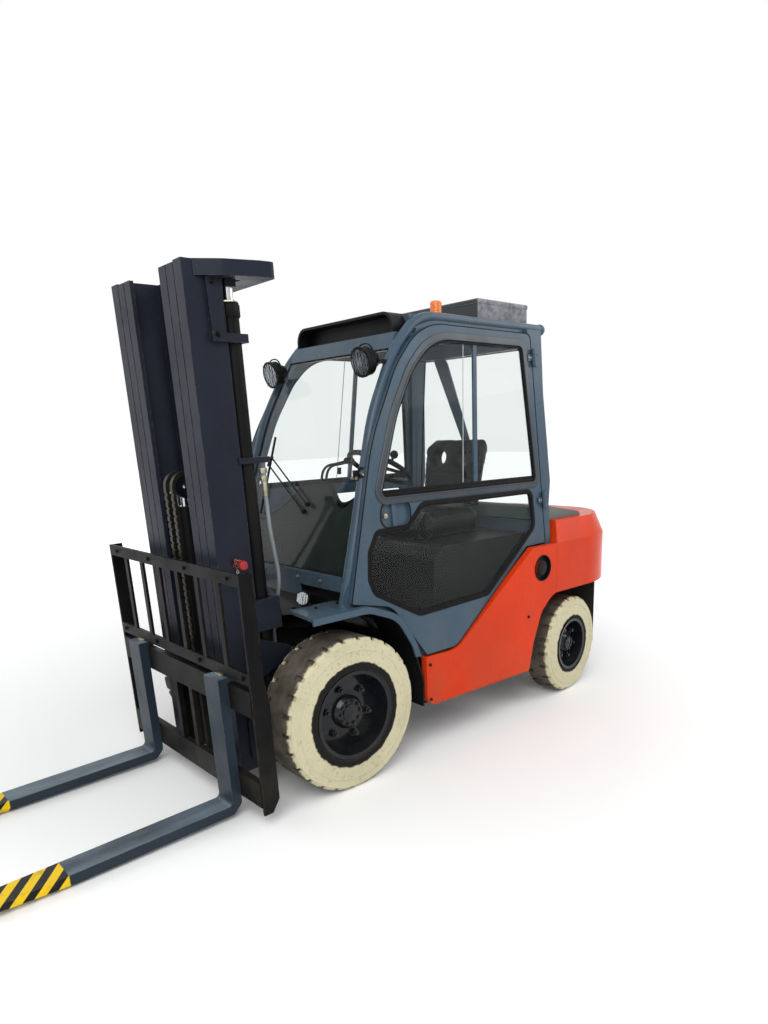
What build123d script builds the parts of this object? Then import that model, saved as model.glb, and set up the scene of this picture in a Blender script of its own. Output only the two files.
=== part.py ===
"""Counterbalance forklift of the three-tonne class with a cab and a three-stage mast.

Millimetres, +X forward, +Y to the driver's left, +Z up, wheels on Z = 0.
Everything is drawn with the front axle at X = 0 and moved at the end, so that the
origin lies under the middle of the whole truck.
"""
from build123d import *
import math
import os

# Driving dimensions: running gear
WHEELBASE = 1700
FRONT_TYRE_R = 355
FRONT_TYRE_W = 225
FRONT_RIM_R = 197
FRONT_TRACK = 1000
REAR_TYRE_R = 291
REAR_TYRE_W = 175
REAR_RIM_R = 150
REAR_TRACK = 964
KINGPIN_TRACK = 710
STEER_AT_REST = 6
SPINDLE_R = 38
AXLE_TUBE_R = 74
KINGPIN_R = 20
WHEEL_GAP = 1
KNUCKLE_SWEEP = 380
FRONT_LUGS = 26
REAR_LUGS = 22
GROOVE_W = 22
GROOVE_REACH = 66
GROOVE_DEPTH = 13

# Driving dimensions: body
BODY_HALF_W = 599
PANEL_T = 36
SILL_Z = 250
FLOOR_Z = 640
DECK_Z = 832
FENDER_T = 14
LINER_T = 8
LIP_H = 30
BAND_FOOT_Z = 530
LINER_FOOT_Z = 262
WAIST_Z = 942
SEAM_X = -1503
REAR_OVERHANG = 590
ARCH_Z = 655
CORNER_SHARE = 0.57
FENDER_W = 226
FRAME_BEAM_Y = 362
FRAME_BEAM_T = 26
COUNTERWEIGHT_TOP_Z = 1062
HOOD_TOP_Z = 1150
COVER_EDGE = 100
TOW_BORE_R = 16

# Driving dimensions: cab
CAB_STEP_IN = 9
CAB_LEAN = 4.6
CAB_LEAN_FOOT_Z = 524
GUARD_R = 26
GUARD_IN = 53
TUBE_SEAT = 0.3
PILLAR_T = 45
ROOF_Z = 2100
ROOF_SKIN_T = 34
VISOR_T = 12
VISOR_DROP = 83
SCREEN_FOOT_Z = 955
REAR_GLASS_FOOT_Z = 1060
REAR_GLASS_TOP_Z = 1995
DOOR_T = 22
DOOR_GAP = 6
DOOR_SEAT = 5
RING_T = 16
RING_IN = 24
RING_OUT = 22
HANDLE_DEPTH = 14
GLASS_T = 6
HINGE_LEAN = 2.3
DOOR_HINGE_X = -1435.5
DOOR_HINGE_Z = 1300
DOOR_HINGE_OUT = 14
DOOR_HINGES_Z = (1190, 1940)
LAMP_R = 62
LAMP_Y = 371
LAMP_Z = 1886
LAMP_DROP = 12
HINGE_R = 11
HINGE_PIN_R = 6

# Driving dimensions: mast
TILT_AT_REST = 1.0
PIVOT_X = 100
PIVOT_Z = 270
PIVOT_PIN_R = 20
MAST_FRONT_X = 438
RAIL_DEPTH = 160
RAIL_W = 58
RAIL_FLANGE = 18
RAIL_WEB = 15
RAIL_GAP = 6
ROLLER_GAP = 0.7
MAST_HALF_W = 328
MAST_TOP_Z = 2221
MAST_BOTTOM_Z = 135
TIE_T = 28
LIFT_BARREL_R = 36
LIFT_ROD_R = 22
LIFT_ROD_FOOT_Z = 440
HOSE_R = 9
PORT_Z = 370
PORT_REACH = LIFT_BARREL_R + 18
HOSE_X = 158
UNION_Z = 1392
CLIP_Z = 1470
SIDE_PLATE_T = 15
HEAD_H = 57
HEAD_REACH_X = 94
HEAD_HALF_W = 431
HEAD_BAR_W = 100

# Driving dimensions: carriage and forks
CARRIAGE_FACE_X = 518
CARRIAGE_BAR_T = 30
CARRIAGE_H = 508
CARRIAGE_BOTTOM_Z = 108
BACKREST_HALF_W = 630
BACKREST_TOP_Z = 1087
BACKREST_FOOT_Z = 76
FORK_T = 42
FORK_W = 120
FORK_LENGTH = 1070
FORK_BOTTOM_Z = 32
FORK_CENTRE_Y = 390
FORK_SEAT = 0.3

# Driving dimensions: free-lift ram and chains
RAM_X = 390
RAM_R = 42
RAM_ROD_R = 26
SHEAVE_R = 50
SHEAVE_Z = 1380
CHAIN_T = 16
CHAIN_W = 24
CHAIN_Y = 32

# Driving dimensions: tilt rams
TILT_EYE_X = 165
TILT_EYE_Z = 640
TILT_ANCHOR_X = -430
TILT_ANCHOR_Z = 560
TILT_Y = 285
TILT_BARREL_R = 38
TILT_ROD_R = 20
TILT_PIN_R = 16
TILT_PIN_PLAY = 3

REAR_AXLE_X = -WHEELBASE
REAR_X = REAR_AXLE_X - REAR_OVERHANG
CORNER_R = CORNER_SHARE * (SEAM_X - REAR_X)
CAB_HALF_W = BODY_HALF_W - CAB_STEP_IN
MAST_REAR_X = MAST_FRONT_X - RAIL_DEPTH


def shape(points, radius=0):
    """A face inside a closed outline, its corners rounded by one radius or by a list."""
    if radius == 0:
        return make_face(Polyline(*points, close=True))
    return make_face(FilletPolyline(*points, radius=radius, close=True))


def along_y(sketch, y0, y1):
    """Extrudes a sketch drawn in X and Z from y0 to y1."""
    return extrude(Plane(origin=(0, y0, 0), x_dir=(1, 0, 0), z_dir=(0, -1, 0)) * sketch, amount=y0 - y1)


def along_z(sketch, z0, z1):
    """Extrudes a sketch drawn in X and Y from z0 to z1."""
    return extrude(Plane(origin=(0, 0, z0)) * sketch, amount=z1 - z0)


def along_x(sketch, x0, x1):
    """Extrudes a sketch drawn in Y and Z from x0 to x1."""
    return extrude(Plane(origin=(x0, 0, 0), x_dir=(0, 1, 0), z_dir=(1, 0, 0)) * sketch, amount=x1 - x0)


def block(x0, x1, y0, y1, z0, z1):
    """A box between two corners."""
    return Pos((x0 + x1) / 2, (y0 + y1) / 2, (z0 + z1) / 2) * Box(abs(x1 - x0), abs(y1 - y0), abs(z1 - z0))


def rod_y(x, z, radius, y0, y1):
    """A round bar along Y."""
    return Pos(x, (y0 + y1) / 2, z) * Rot(90, 0, 0) * Cylinder(radius, abs(y1 - y0))


def rod_z(x, y, radius, z0, z1):
    """A round bar along Z."""
    return Pos(x, y, (z0 + z1) / 2) * Cylinder(radius, z1 - z0)


def mirrored(solid):
    """The same piece on the truck's other side."""
    return mirror(solid, about=Plane.XZ)


def both(solid):
    """A piece and its mirror image, as one compound or one solid where they meet."""
    return solid + mirrored(solid)


def leaning(solid):
    """Turns a mast piece forward about the mast's pivot by its tilt at rest."""
    turn = Pos(PIVOT_X, 0, PIVOT_Z) * Rot(0, TILT_AT_REST, 0) * Pos(-PIVOT_X, 0, -PIVOT_Z)
    return turn * solid


def turned(profile, x, z, y0, side):
    """Revolves a profile of (radius, offset from the wheel's inner plane) about a Y axis."""
    plane = Plane(origin=(x, y0, z), x_dir=(1, 0, 0), z_dir=(0, 0, 1))
    face = plane * make_face(Polyline(*[(r, side * o) for r, o in profile], close=True))
    return revolve(face, Axis((x, y0, z), (0, 1, 0)), 360)


# Wheels

def shoulder_grooves(x, z, radius, width, y_in, side, count):
    """Grooves between the tread lugs of both shoulders, the two rows half a pitch apart."""
    grooves = []
    for row, offset_y in enumerate((GROOVE_REACH / 2 - 1, width - GROOVE_REACH / 2 + 1)):
        for i in range(count):
            turn = 360 / count * (i + row / 2)
            groove = Pos(0, side * offset_y, radius) * Box(GROOVE_W, GROOVE_REACH, 2 * GROOVE_DEPTH)
            grooves.append(Pos(x, y_in, z) * Rot(0, turn, 0) * groove)
    return grooves


def tyre(x, z, radius, width, rim_r, y_in, side, lugs):
    """A solid-looking industrial tyre with rounded shoulders and a row of lugs on each."""
    bevel = 16
    bead = 14
    profile = [(rim_r, bead), (rim_r + 22, 0), (radius - bevel, 4), (radius, bevel + 4),
               (radius, width - bevel - 4), (radius - bevel, width - 4), (rim_r + 22, width), (rim_r, width - bead)]
    return turned(profile, x, z, y_in, side) - shoulder_grooves(x, z, radius, width, y_in, side, lugs)


def rim(x, z, width, rim_r, disc_at, bore_r, hub_r, y_in, side):
    """A pressed steel rim: barrel, dished disc and hub boss."""
    wall = 9
    lip = 8
    gap = 0.3
    barrel = [(rim_r - gap, 16), (rim_r - gap, width - 16), (rim_r - wall, width - 16), (rim_r - wall, 16)]
    ring_in = [(rim_r + lip, 8), (rim_r + lip, 1), (rim_r - wall, 3), (rim_r - wall, 20), (rim_r - 2, 20),
               (rim_r - 2, 13)]
    ring_out = [(r, width - o) for r, o in ring_in]
    disc = [(rim_r - wall + 1, disc_at - 26), (rim_r - wall + 1, disc_at - 12), (hub_r + 26, disc_at + 2),
            (bore_r, disc_at + 2), (bore_r, disc_at - 12), (hub_r + 20, disc_at - 12)]
    boss = [(bore_r, disc_at), (hub_r, disc_at), (hub_r, disc_at + 14), (hub_r - 14, disc_at + 30),
            (bore_r, disc_at + 30)]
    parts = [turned(p, x, z, y_in, side) for p in (barrel, ring_in, ring_out, disc, boss)]
    body = parts[0]
    for other in parts[1:]:
        body = body + other
    cap = turned([(0, disc_at + 22), (bore_r + 1, disc_at + 22), (bore_r + 1, disc_at + 36), (0, disc_at + 44)],
                 x, z, y_in, side)
    return body + cap


FRONT_DISC_AT = 150
REAR_DISC_AT = 112
FRONT_HUB_R = 78
REAR_HUB_R = 60


def front_wheel(side):
    """Tyre and rim of a front wheel, side +1 on the left."""
    y_in = side * (FRONT_TRACK / 2 - FRONT_TYRE_W / 2)
    rubber = tyre(0, FRONT_TYRE_R, FRONT_TYRE_R, FRONT_TYRE_W, FRONT_RIM_R, y_in, side, FRONT_LUGS)
    steel = rim(0, FRONT_TYRE_R, FRONT_TYRE_W, FRONT_RIM_R, FRONT_DISC_AT, SPINDLE_R + WHEEL_GAP, FRONT_HUB_R,
                y_in, side)
    return rubber, steel


def steered(solid, side):
    """Turns a rear wheel's piece about its kingpin by the steering angle at rest."""
    y = side * KINGPIN_TRACK / 2
    return Pos(REAR_AXLE_X, y, 0) * Rot(0, 0, STEER_AT_REST) * Pos(-REAR_AXLE_X, -y, 0) * solid


def rear_wheel(side):
    """Tyre and rim of a rear wheel, steered as it stands."""
    y_in = side * (REAR_TRACK / 2 - REAR_TYRE_W / 2)
    rubber = tyre(REAR_AXLE_X, REAR_TYRE_R, REAR_TYRE_R, REAR_TYRE_W, REAR_RIM_R, y_in, side, REAR_LUGS)
    steel = rim(REAR_AXLE_X, REAR_TYRE_R, REAR_TYRE_W, REAR_RIM_R, REAR_DISC_AT, SPINDLE_R - 8 + WHEEL_GAP,
                REAR_HUB_R, y_in, side)
    return steered(rubber, side), steered(steel, side)


# Axles

def drive_axle():
    """Axle housing with its differential, hub ends, spindles and the ears that carry the mast."""
    inner_y = FRONT_TRACK / 2 - FRONT_TYRE_W / 2
    disc_y = inner_y + FRONT_DISC_AT - 12 - WHEEL_GAP
    axle = rod_y(0, FRONT_TYRE_R, AXLE_TUBE_R, -inner_y - 30, inner_y + 30)
    bowl = Pos(0, 0, FRONT_TYRE_R) * Sphere(150)
    axle = axle + (bowl & block(-150, 150, -130, 130, FRONT_TYRE_R - 150, FRONT_TYRE_R + 150))
    hub = rod_y(0, FRONT_TYRE_R, 90, inner_y + 10, disc_y)
    spindle = rod_y(0, FRONT_TYRE_R, SPINDLE_R, disc_y - 5, disc_y + 18)
    ear_outline = make_hull((Pos(0, FRONT_TYRE_R) * Circle(62)).edges() + (Pos(PIVOT_X, PIVOT_Z) * Circle(38)).edges())
    ear = along_y(ear_outline, 296, 322)
    pin = rod_y(PIVOT_X, PIVOT_Z, PIVOT_PIN_R, 300, MAST_HALF_W + SIDE_PLATE_T + 2)
    return axle + both(hub + spindle + ear + pin)


def steer_axle():
    """Two-plate steering axle with its kingpins and the cross ram between the plates."""
    half = KINGPIN_TRACK / 2
    outline = [(34, half + 26), (34, half - 10), (48, half - 60), (80, half - 185), (80, 0)]
    points = [(REAR_AXLE_X + w, y) for w, y in outline]
    points += [(REAR_AXLE_X + w, -y) for w, y in reversed(outline[:-1])]
    points += [(REAR_AXLE_X - w, -y) for w, y in outline]
    points += [(REAR_AXLE_X - w, y) for w, y in reversed(outline[:-1])]
    plate = shape(points)
    upper = along_z(plate, REAR_TYRE_R + 56, REAR_TYRE_R + 76)
    lower = along_z(plate, REAR_TYRE_R - 76, REAR_TYRE_R - 56)
    web = block(REAR_AXLE_X - 74, REAR_AXLE_X + 74, -110, 110, REAR_TYRE_R - 60, REAR_TYRE_R + 60)
    ram = rod_y(REAR_AXLE_X + 40, REAR_TYRE_R, 34, -190, 190)
    pivot = block(REAR_AXLE_X - 100, REAR_AXLE_X + 100, -55, 55, REAR_TYRE_R - 20, REAR_TYRE_R + 130)
    pivot = pivot + Pos(REAR_AXLE_X, 0, REAR_TYRE_R + 75) * Rot(0, 90, 0) * Cylinder(28, 268)
    pins = both(rod_z(REAR_AXLE_X, half, KINGPIN_R, REAR_TYRE_R - 70, REAR_TYRE_R + 70))
    return upper + lower + web + ram + pivot + pins


def knuckle(side):
    """Steering knuckle: a sleeve on the kingpin, the spindle and the steering arm."""
    half = KINGPIN_TRACK / 2
    y = side * half
    disc_y = REAR_TRACK / 2 - REAR_TYRE_W / 2 + REAR_DISC_AT - 12 - WHEEL_GAP
    sleeve = rod_z(REAR_AXLE_X, y, 33, REAR_TYRE_R - 51, REAR_TYRE_R + 51)
    hub = rod_y(REAR_AXLE_X, REAR_TYRE_R, 46, side * (half + 22), side * disc_y)
    spindle = rod_y(REAR_AXLE_X, REAR_TYRE_R, SPINDLE_R - 8, side * (disc_y - 5), side * (disc_y + 30))
    body = sleeve + hub + spindle
    body = body - rod_z(REAR_AXLE_X, y, KINGPIN_R + 0.5, REAR_TYRE_R - 80, REAR_TYRE_R + 80)
    return steered(body, side)


# Chassis

PANEL_OUTLINE = [(-456, SILL_Z + 8), (-456, 514), (-640, 508), (-696, 524), (-1284, WAIST_Z), (SEAM_X, WAIST_Z),
                 (SEAM_X, ARCH_Z), (-1456, 637), (-1370, 566), (-1300, 400), (-1262, SILL_Z - 8)]
PANEL_RADII = [60, 4, 40, 40, 6, 4, 4, 60, 90, 90, 14]
FILLER_X = -1375
FILLER_Z = 818


def side_panels():
    """Orange side panels with the wheel-arch cuts and the round filler recess."""
    panel = along_y(shape(PANEL_OUTLINE, PANEL_RADII), BODY_HALF_W - PANEL_T, BODY_HALF_W)
    recess = rod_y(FILLER_X, FILLER_Z, 74, BODY_HALF_W - 24, BODY_HALF_W + 10)
    panel = panel - recess
    cap = rod_y(FILLER_X, FILLER_Z, 40, BODY_HALF_W - 25, BODY_HALF_W - 8)
    return both(panel + cap)


def arch_face():
    """Filled outline under the front fender's outer line."""
    points = [(400, DECK_Z), (-120, DECK_Z), (-300, DECK_Z - 72), (-400, 600), (-462, 400), (-455, 100), (400, 100)]
    return shape(points, [1, 200, 200, 250, 200, 1, 1])


def arch_band(out, thickness):
    """Strip that follows the fender's outer line at a distance below it."""
    outer = offset(arch_face(), amount=-out, kind=Kind.INTERSECTION)
    return outer - offset(arch_face(), amount=-out - thickness, kind=Kind.INTERSECTION)


def front_fenders():
    """Thin rolled fenders over the front wheels, with a deeper lip along their outer edges."""
    outer_y = BODY_HALF_W - 1
    inner_y = outer_y - FENDER_W
    sheet = along_y(arch_band(0, FENDER_T), inner_y, outer_y)
    lip = along_y(arch_band(0, LIP_H), outer_y - 10, outer_y)
    keep = block(-500, 190, inner_y, outer_y, BAND_FOOT_Z, DECK_Z + 10)
    nose = along_z(shape([(187, outer_y + 2), (156, inner_y - 2), (260, inner_y - 2), (260, outer_y + 2)]), 700, 900)
    return both(((sheet + lip) & keep) - nose)


def fender_liners():
    """Dark liners under the front fenders, reaching down behind the wheels."""
    outer_y = BODY_HALF_W - 12
    inner_y = BODY_HALF_W - 1 - FENDER_W
    sheet = along_y(arch_band(FENDER_T, LINER_T), inner_y + 4, outer_y)
    return both(sheet & block(-500, 140, inner_y, outer_y, LINER_FOOT_Z, DECK_Z))


def counterweight_plan(half_w, rear_x, front_x, corner):
    """Plan outline of the counterweight."""
    points = [(front_x, -half_w), (front_x, half_w), (rear_x, half_w), (rear_x, -half_w)]
    return shape(points, [2, 2, corner, corner])


def counterweight():
    """Cast upper counterweight with its chamfered shoulder and air duct."""
    plan = counterweight_plan(BODY_HALF_W - 1, REAR_X, SEAM_X - 3, CORNER_R)
    lower = along_z(plan, ARCH_Z, WAIST_Z)
    upper = extrude(Plane(origin=(0, 0, WAIST_Z)) * plan, amount=COUNTERWEIGHT_TOP_Z - WAIST_Z, taper=24)
    duct_y = 230
    duct = block(REAR_X - 10, SEAM_X, -duct_y, duct_y, ARCH_Z + 30, ARCH_Z + 250)
    body = lower + upper
    deck_y = BODY_HALF_W - COVER_EDGE + 1
    deck = block(REAR_X + 420, SEAM_X + 10, -deck_y, deck_y, COUNTERWEIGHT_TOP_Z - 60, COUNTERWEIGHT_TOP_Z + 5)
    return body - duct - deck


def counterweight_base():
    """Lower casting between and behind the rear wheels with the tow-pin jaw."""
    front = REAR_AXLE_X - KNUCKLE_SWEEP
    plan = counterweight_plan(BODY_HALF_W - 40, REAR_X + 40, SEAM_X, CORNER_R - 40)
    body = along_z(plan, 215, ARCH_Z) & block(REAR_X, front, -BODY_HALF_W, BODY_HALF_W, 200, ARCH_Z)
    jaw = block(REAR_X + 20, REAR_X + 150, -60, 60, 400, 470)
    pocket = block(REAR_X + 20, REAR_X + 150, -60, 60, 500, 630)
    bore = rod_z(REAR_X + 90, 0, TOW_BORE_R, 200, 560)
    return body - jaw - pocket - bore


def radiator_cover():
    """Grey cover over the radiator, seated in the counterweight's top."""
    x0 = REAR_X + 421
    x1 = SEAM_X + 4
    z0 = COUNTERWEIGHT_TOP_Z - 60
    profile = [(x0, z0), (x0, COUNTERWEIGHT_TOP_Z + 20), (x1, HOOD_TOP_Z), (x1, z0)]
    cover_y = BODY_HALF_W - COVER_EDGE
    return along_y(shape(profile, [2, 40, 20, 2]), -cover_y, cover_y)


def main_frame():
    """Welded frame: side beams, cross-members, floor and the carrier of the steering axle."""
    inner_y = FRAME_BEAM_Y - FRAME_BEAM_T
    beam = along_y(shape([(150, 440), (150, 540), (-300, 560), (-1340, 640), (-2060, 640), (-2060, 600), (-1345, 600),
                          (-1300, 540), (-1280, 300), (-340, 300), (-150, 440)]), inner_y, FRAME_BEAM_Y)
    floor_y = BODY_HALF_W - PANEL_T - 33
    floor = block(-1470, -475, -floor_y, floor_y, FLOOR_Z - 30, FLOOR_Z)
    floor = floor + block(-480, -330, -FRAME_BEAM_Y, FRAME_BEAM_Y, FLOOR_Z - 18, FLOOR_Z)
    front = block(60, 90, -inner_y - 1, inner_y + 1, 505, 575)
    rear = block(-2060, -1470, -FRAME_BEAM_Y + 1, FRAME_BEAM_Y - 1, 610, ARCH_Z)
    saddle = block(REAR_AXLE_X - 130, REAR_AXLE_X - 104, -54, 54, 330, 620)
    saddle = saddle + block(REAR_AXLE_X + 104, REAR_AXLE_X + 130, -54, 54, 330, 620)
    saddle = saddle - Pos(REAR_AXLE_X, 0, REAR_TYRE_R + 75) * Rot(0, 90, 0) * Cylinder(28.3, 300)
    seat = block(-70, 70, inner_y - 6, FRAME_BEAM_Y + 6, 400, 445)
    seat = seat - rod_y(0, FRONT_TYRE_R, AXLE_TUBE_R + 0.3, inner_y - 16, FRAME_BEAM_Y + 18)
    sump = block(-1300, -600, -inner_y - 1, inner_y + 1, 300, 330)
    outrigger = block(-1250, -470, FRAME_BEAM_Y - 1, BODY_HALF_W - PANEL_T, 262, 300)
    body = both(beam + seat) + floor + front + rear + saddle + sump + both(outrigger)
    return body


def engine_block():
    """The engine as one plain mass."""
    return block(-1350, -700, -240, 240, 330, 609)


def engine_hood():
    """Hood over the engine, with the seat on top."""
    profile = [(-1436, FLOOR_Z), (-1436, 1000), (-760, 1000), (-700, 940), (-680, FLOOR_Z)]
    half = BODY_HALF_W - 179
    return along_y(shape(profile, [2, 20, 60, 30, 2]), -half, half)


# Cab

DOOR_OUTLINE = [(-47, 848), (-248, 1545), (-430, 1868), (-610, 2061), (-1401, 2061), (-1448, 950), (-1352, 950),
                (-714, 521), (-470, 521), (-275, 797)]
DOOR_RADII = [8, 900, 500, 330, 34, 6, 30, 40, 10, 110]
UPPER_WINDOW = [(-262, 1296), (-400, 1655), (-520, 1850), (-665, 1994), (-1325, 1994), (-1386, 1296)]
UPPER_RADII = [25, 700, 300, 300, 30, 25]
LOWER_WINDOW = [(-168, 940), (-182, 1060), (-232, 1140), (-420, 1145), (-520, 1240), (-1337, 1238), (-1350, 1055),
                (-935, 752), (-450, 738), (-190, 880)]
LOWER_RADII = [40, 60, 30, 60, 60, 30, 60, 60, 60, 40]
GUARD_LINE = [(-40, 826), (-310, 1661), (-480, 1962), (-640, 2100), (-1556, 2100)]
GUARD_RADII = [1000, 600, 240]
REAR_PILLAR = [(-1380, 2084), (-1499, 2084), (-1494, 1760), (-1521, 1290), (-1498, 1160), (-1498, 935), (-1400, 935)]


def leaned(solid):
    """Leans a piece drawn upright in the left door's plane inwards with the cab's side."""
    foot = Pos(0, CAB_HALF_W, CAB_LEAN_FOOT_Z)
    return foot * Rot(CAB_LEAN, 0, 0) * Pos(0, -CAB_HALF_W, -CAB_LEAN_FOOT_Z) * solid


def at_depth(sketch, depth, thickness):
    """A plate in the left door's plane, from one depth below its outer face inwards, upright."""
    return along_y(sketch, CAB_HALF_W - depth - thickness, CAB_HALF_W - depth)


def wall_y(z, depth):
    """Half-width of the cab at a height, measured to a depth below the doors' outer faces."""
    lean = math.radians(CAB_LEAN)
    return CAB_HALF_W - (z - CAB_LEAN_FOOT_Z) * math.tan(lean) - depth / math.cos(lean)


def cab_inside(depth):
    """The space between the two leaning sides, down to a depth below the doors' outer faces."""
    z0 = SILL_Z
    z1 = ROOF_Z + 100
    outline = [(-wall_y(z0, depth), z0), (wall_y(z0, depth), z0), (wall_y(z1, depth), z1), (-wall_y(z1, depth), z1)]
    return along_x(shape(outline), SEAM_X - 200, MAST_REAR_X)


def guard_tube(radius):
    """Round guard tube of the left side, from the fender up the windscreen and along the roof."""
    y = CAB_HALF_W - GUARD_IN
    line = FilletPolyline(*[(x, y, z) for x, z in GUARD_LINE], radius=GUARD_RADII)
    section = Plane(origin=line @ 0, z_dir=line % 0) * Circle(radius)
    return leaned(sweep(section, line))


def arch_body():
    """Everything under the left front fender's outer line."""
    return along_y(arch_face(), BODY_HALF_W - FENDER_W - 1, BODY_HALF_W)


def door_ring():
    """Frame ring that the door closes against, reaching past the door at its sill, top and rear."""
    door_face = shape(DOOR_OUTLINE, DOOR_RADII)
    wide = offset(door_face, amount=RING_OUT, kind=Kind.INTERSECTION)
    front = shape([(-30, DECK_Z + 43), (-600, ROOF_Z - 60), (200, ROOF_Z - 60), (200, DECK_Z + 43)])
    window = offset(door_face, amount=-RING_IN, kind=Kind.INTERSECTION)
    ring = (wide - front) + door_face - window
    return at_depth(ring, DOOR_T + DOOR_SEAT, RING_T)


def cab_side():
    """Left side of the cab: guard tube with its ball end, door ring, rear pillar and rear leg."""
    tube = guard_tube(GUARD_R)
    ball = leaned(Pos(GUARD_LINE[-1][0], CAB_HALF_W - GUARD_IN, GUARD_LINE[-1][1]) * Sphere(GUARD_R + 4))
    pillar_face = shape(REAR_PILLAR) - offset(shape(DOOR_OUTLINE, DOOR_RADII), amount=DOOR_GAP,
                                              kind=Kind.INTERSECTION)
    pillar = at_depth(pillar_face, 0, PILLAR_T)
    leg_y = wall_y(WAIST_Z, PILLAR_T) + 14
    leg = block(-1466, -1416, leg_y - 40, leg_y, FLOOR_Z, WAIST_Z + 30)
    side = tube + ball + leaned(door_ring() + pillar)
    below_waist = block(-1600, -1340, 400, BODY_HALF_W, 400, WAIST_Z)
    panel = along_y(shape(PANEL_OUTLINE, PANEL_RADII), BODY_HALF_W - PANEL_T, BODY_HALF_W)
    return side - arch_body() - below_waist - panel + leg


def cab_frame():
    """Cab side frames, front and rear headers, the sills, the rear brace and the hinge halves."""
    top = ROOF_Z - VISOR_DROP - TUBE_SEAT
    header = along_y(shape([(-464, 1941), (-502, top), (-586, top), (-586, 1990), (-520, 1941)]),
                     -BODY_HALF_W, BODY_HALF_W)
    header = header & cab_inside(GUARD_IN + GUARD_R / 2)
    sill = block(-100, -52, -BODY_HALF_W, BODY_HALF_W, 890, SCREEN_FOOT_Z)
    sill = sill + block(-66, -52, -BODY_HALF_W, 150, DECK_Z + 2, 895)
    sill = sill & cab_inside(GUARD_IN + GUARD_R / 2)
    rear_x = -1494
    rear_header = block(rear_x, -1440, -BODY_HALF_W, BODY_HALF_W, REAR_GLASS_TOP_Z, ROOF_Z - ROOF_SKIN_T)
    rear_sill = block(rear_x, rear_x + 30, -BODY_HALF_W, BODY_HALF_W, WAIST_Z, REAR_GLASS_FOOT_Z)
    rear = (rear_header + rear_sill) & cab_inside(PILLAR_T - 5)
    brace = along_x(shape([(-330, REAR_GLASS_TOP_Z + 5), (-225, REAR_GLASS_TOP_Z + 5), (-30, 1500), (-30, 1050),
                           (-90, 1050), (-90, 1500)], [2, 60, 60, 2, 2, 60]), -1474, -1466)
    body = both(cab_side() + leaned(frame_hinges())) + header + sill + rear + brace
    return body


def roof_panel():
    """Roof skin between the guard tubes."""
    skin = block(-1550, -590, -BODY_HALF_W, BODY_HALF_W, ROOF_Z - ROOF_SKIN_T, ROOF_Z)
    skin = skin & cab_inside(GUARD_IN + 8)
    tube = guard_tube(GUARD_R + TUBE_SEAT) + leaned(Pos(GUARD_LINE[-1][0], CAB_HALF_W - GUARD_IN, GUARD_LINE[-1][1])
                                                    * Sphere(GUARD_R + 4 + TUBE_SEAT))
    return skin - both(tube)


def roof_box():
    """Box on the roof."""
    return block(-1548, -1146, -250, 330, ROOF_Z, 2228)


def beacon():
    """Round flashing beacon."""
    base = rod_z(-920, 250, 34, ROOF_Z, ROOF_Z + 44)
    dome = rod_z(-920, 250, 29, ROOF_Z + 44, ROOF_Z + 104)
    return base + fillet(dome.edges().group_by(Axis.Z)[-1], 12)


def front_visor():
    """Hood over the windscreen between the guard tubes, with rounded corners and a tongue on the roof."""
    half = wall_y(ROOF_Z, GUARD_IN + GUARD_R) - 1.5
    low = ROOF_Z - VISOR_DROP
    top = ROOF_Z + VISOR_T
    outer = shape([(-half, low), (-half, top), (half, top), (half, low)], [1, 70, 70, 1])
    inner_half = half - VISOR_T
    inner = shape([(-inner_half, low - 10), (-inner_half, ROOF_Z), (inner_half, ROOF_Z), (inner_half, low - 10)],
                  [1, 60, 60, 1])
    hood = along_x(outer - inner, -589.5, -506) + along_x(outer, -589.5, -582)
    tongue = block(-690, -585, -half + 66, half - 66, ROOF_Z, top)
    return hood + tongue


def windscreen():
    """Curved windscreen between the guard tubes."""
    pane = along_y(shape([(-75, SCREEN_FOOT_Z + 0.3), (-308, 1658), (-464, 1940.7), (-472, 1940.7), (-315, 1656),
                          (-82, SCREEN_FOOT_Z + 0.3)], [0.5, 1000, 0.5, 0.5, 1000, 0.5]), -BODY_HALF_W, BODY_HALF_W)
    return pane & cab_inside(GUARD_IN + GUARD_R + TUBE_SEAT)


def rear_window():
    """Rear window of the cab, between the rear pillars."""
    pane = block(-1490, -1484, -BODY_HALF_W, BODY_HALF_W, REAR_GLASS_FOOT_Z + 0.3, REAR_GLASS_TOP_Z - 0.3)
    return pane & cab_inside(PILLAR_T + TUBE_SEAT)


def front_cowl():
    """Black sheet under the windscreen's sill and the sloping toe board down to the floor."""
    wall = block(-110, -96, -BODY_HALF_W, BODY_HALF_W, DECK_Z + 1, 889.7) & cab_inside(GUARD_IN + GUARD_R + 2)
    half = FRAME_BEAM_Y + 7
    board = along_y(shape([(-96, 860), (-110, 860), (-344, FLOOR_Z + 0.3), (-328, FLOOR_Z + 0.3)]), -half, half)
    return wall + board


def glass_side(gap):
    """Space behind a plane parallel to the windscreen's lower part, a gap inwards of it."""
    slope = (308 - 75) / (1658 - SCREEN_FOOT_Z)
    x0 = -82 - gap
    x1 = x0 - slope * 600
    return along_y(shape([(x0, SCREEN_FOOT_Z), (x1, SCREEN_FOOT_Z + 600), (x1 - 800, SCREEN_FOOT_Z + 600),
                          (x0 - 800, SCREEN_FOOT_Z)]), -BODY_HALF_W, BODY_HALF_W)


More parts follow.
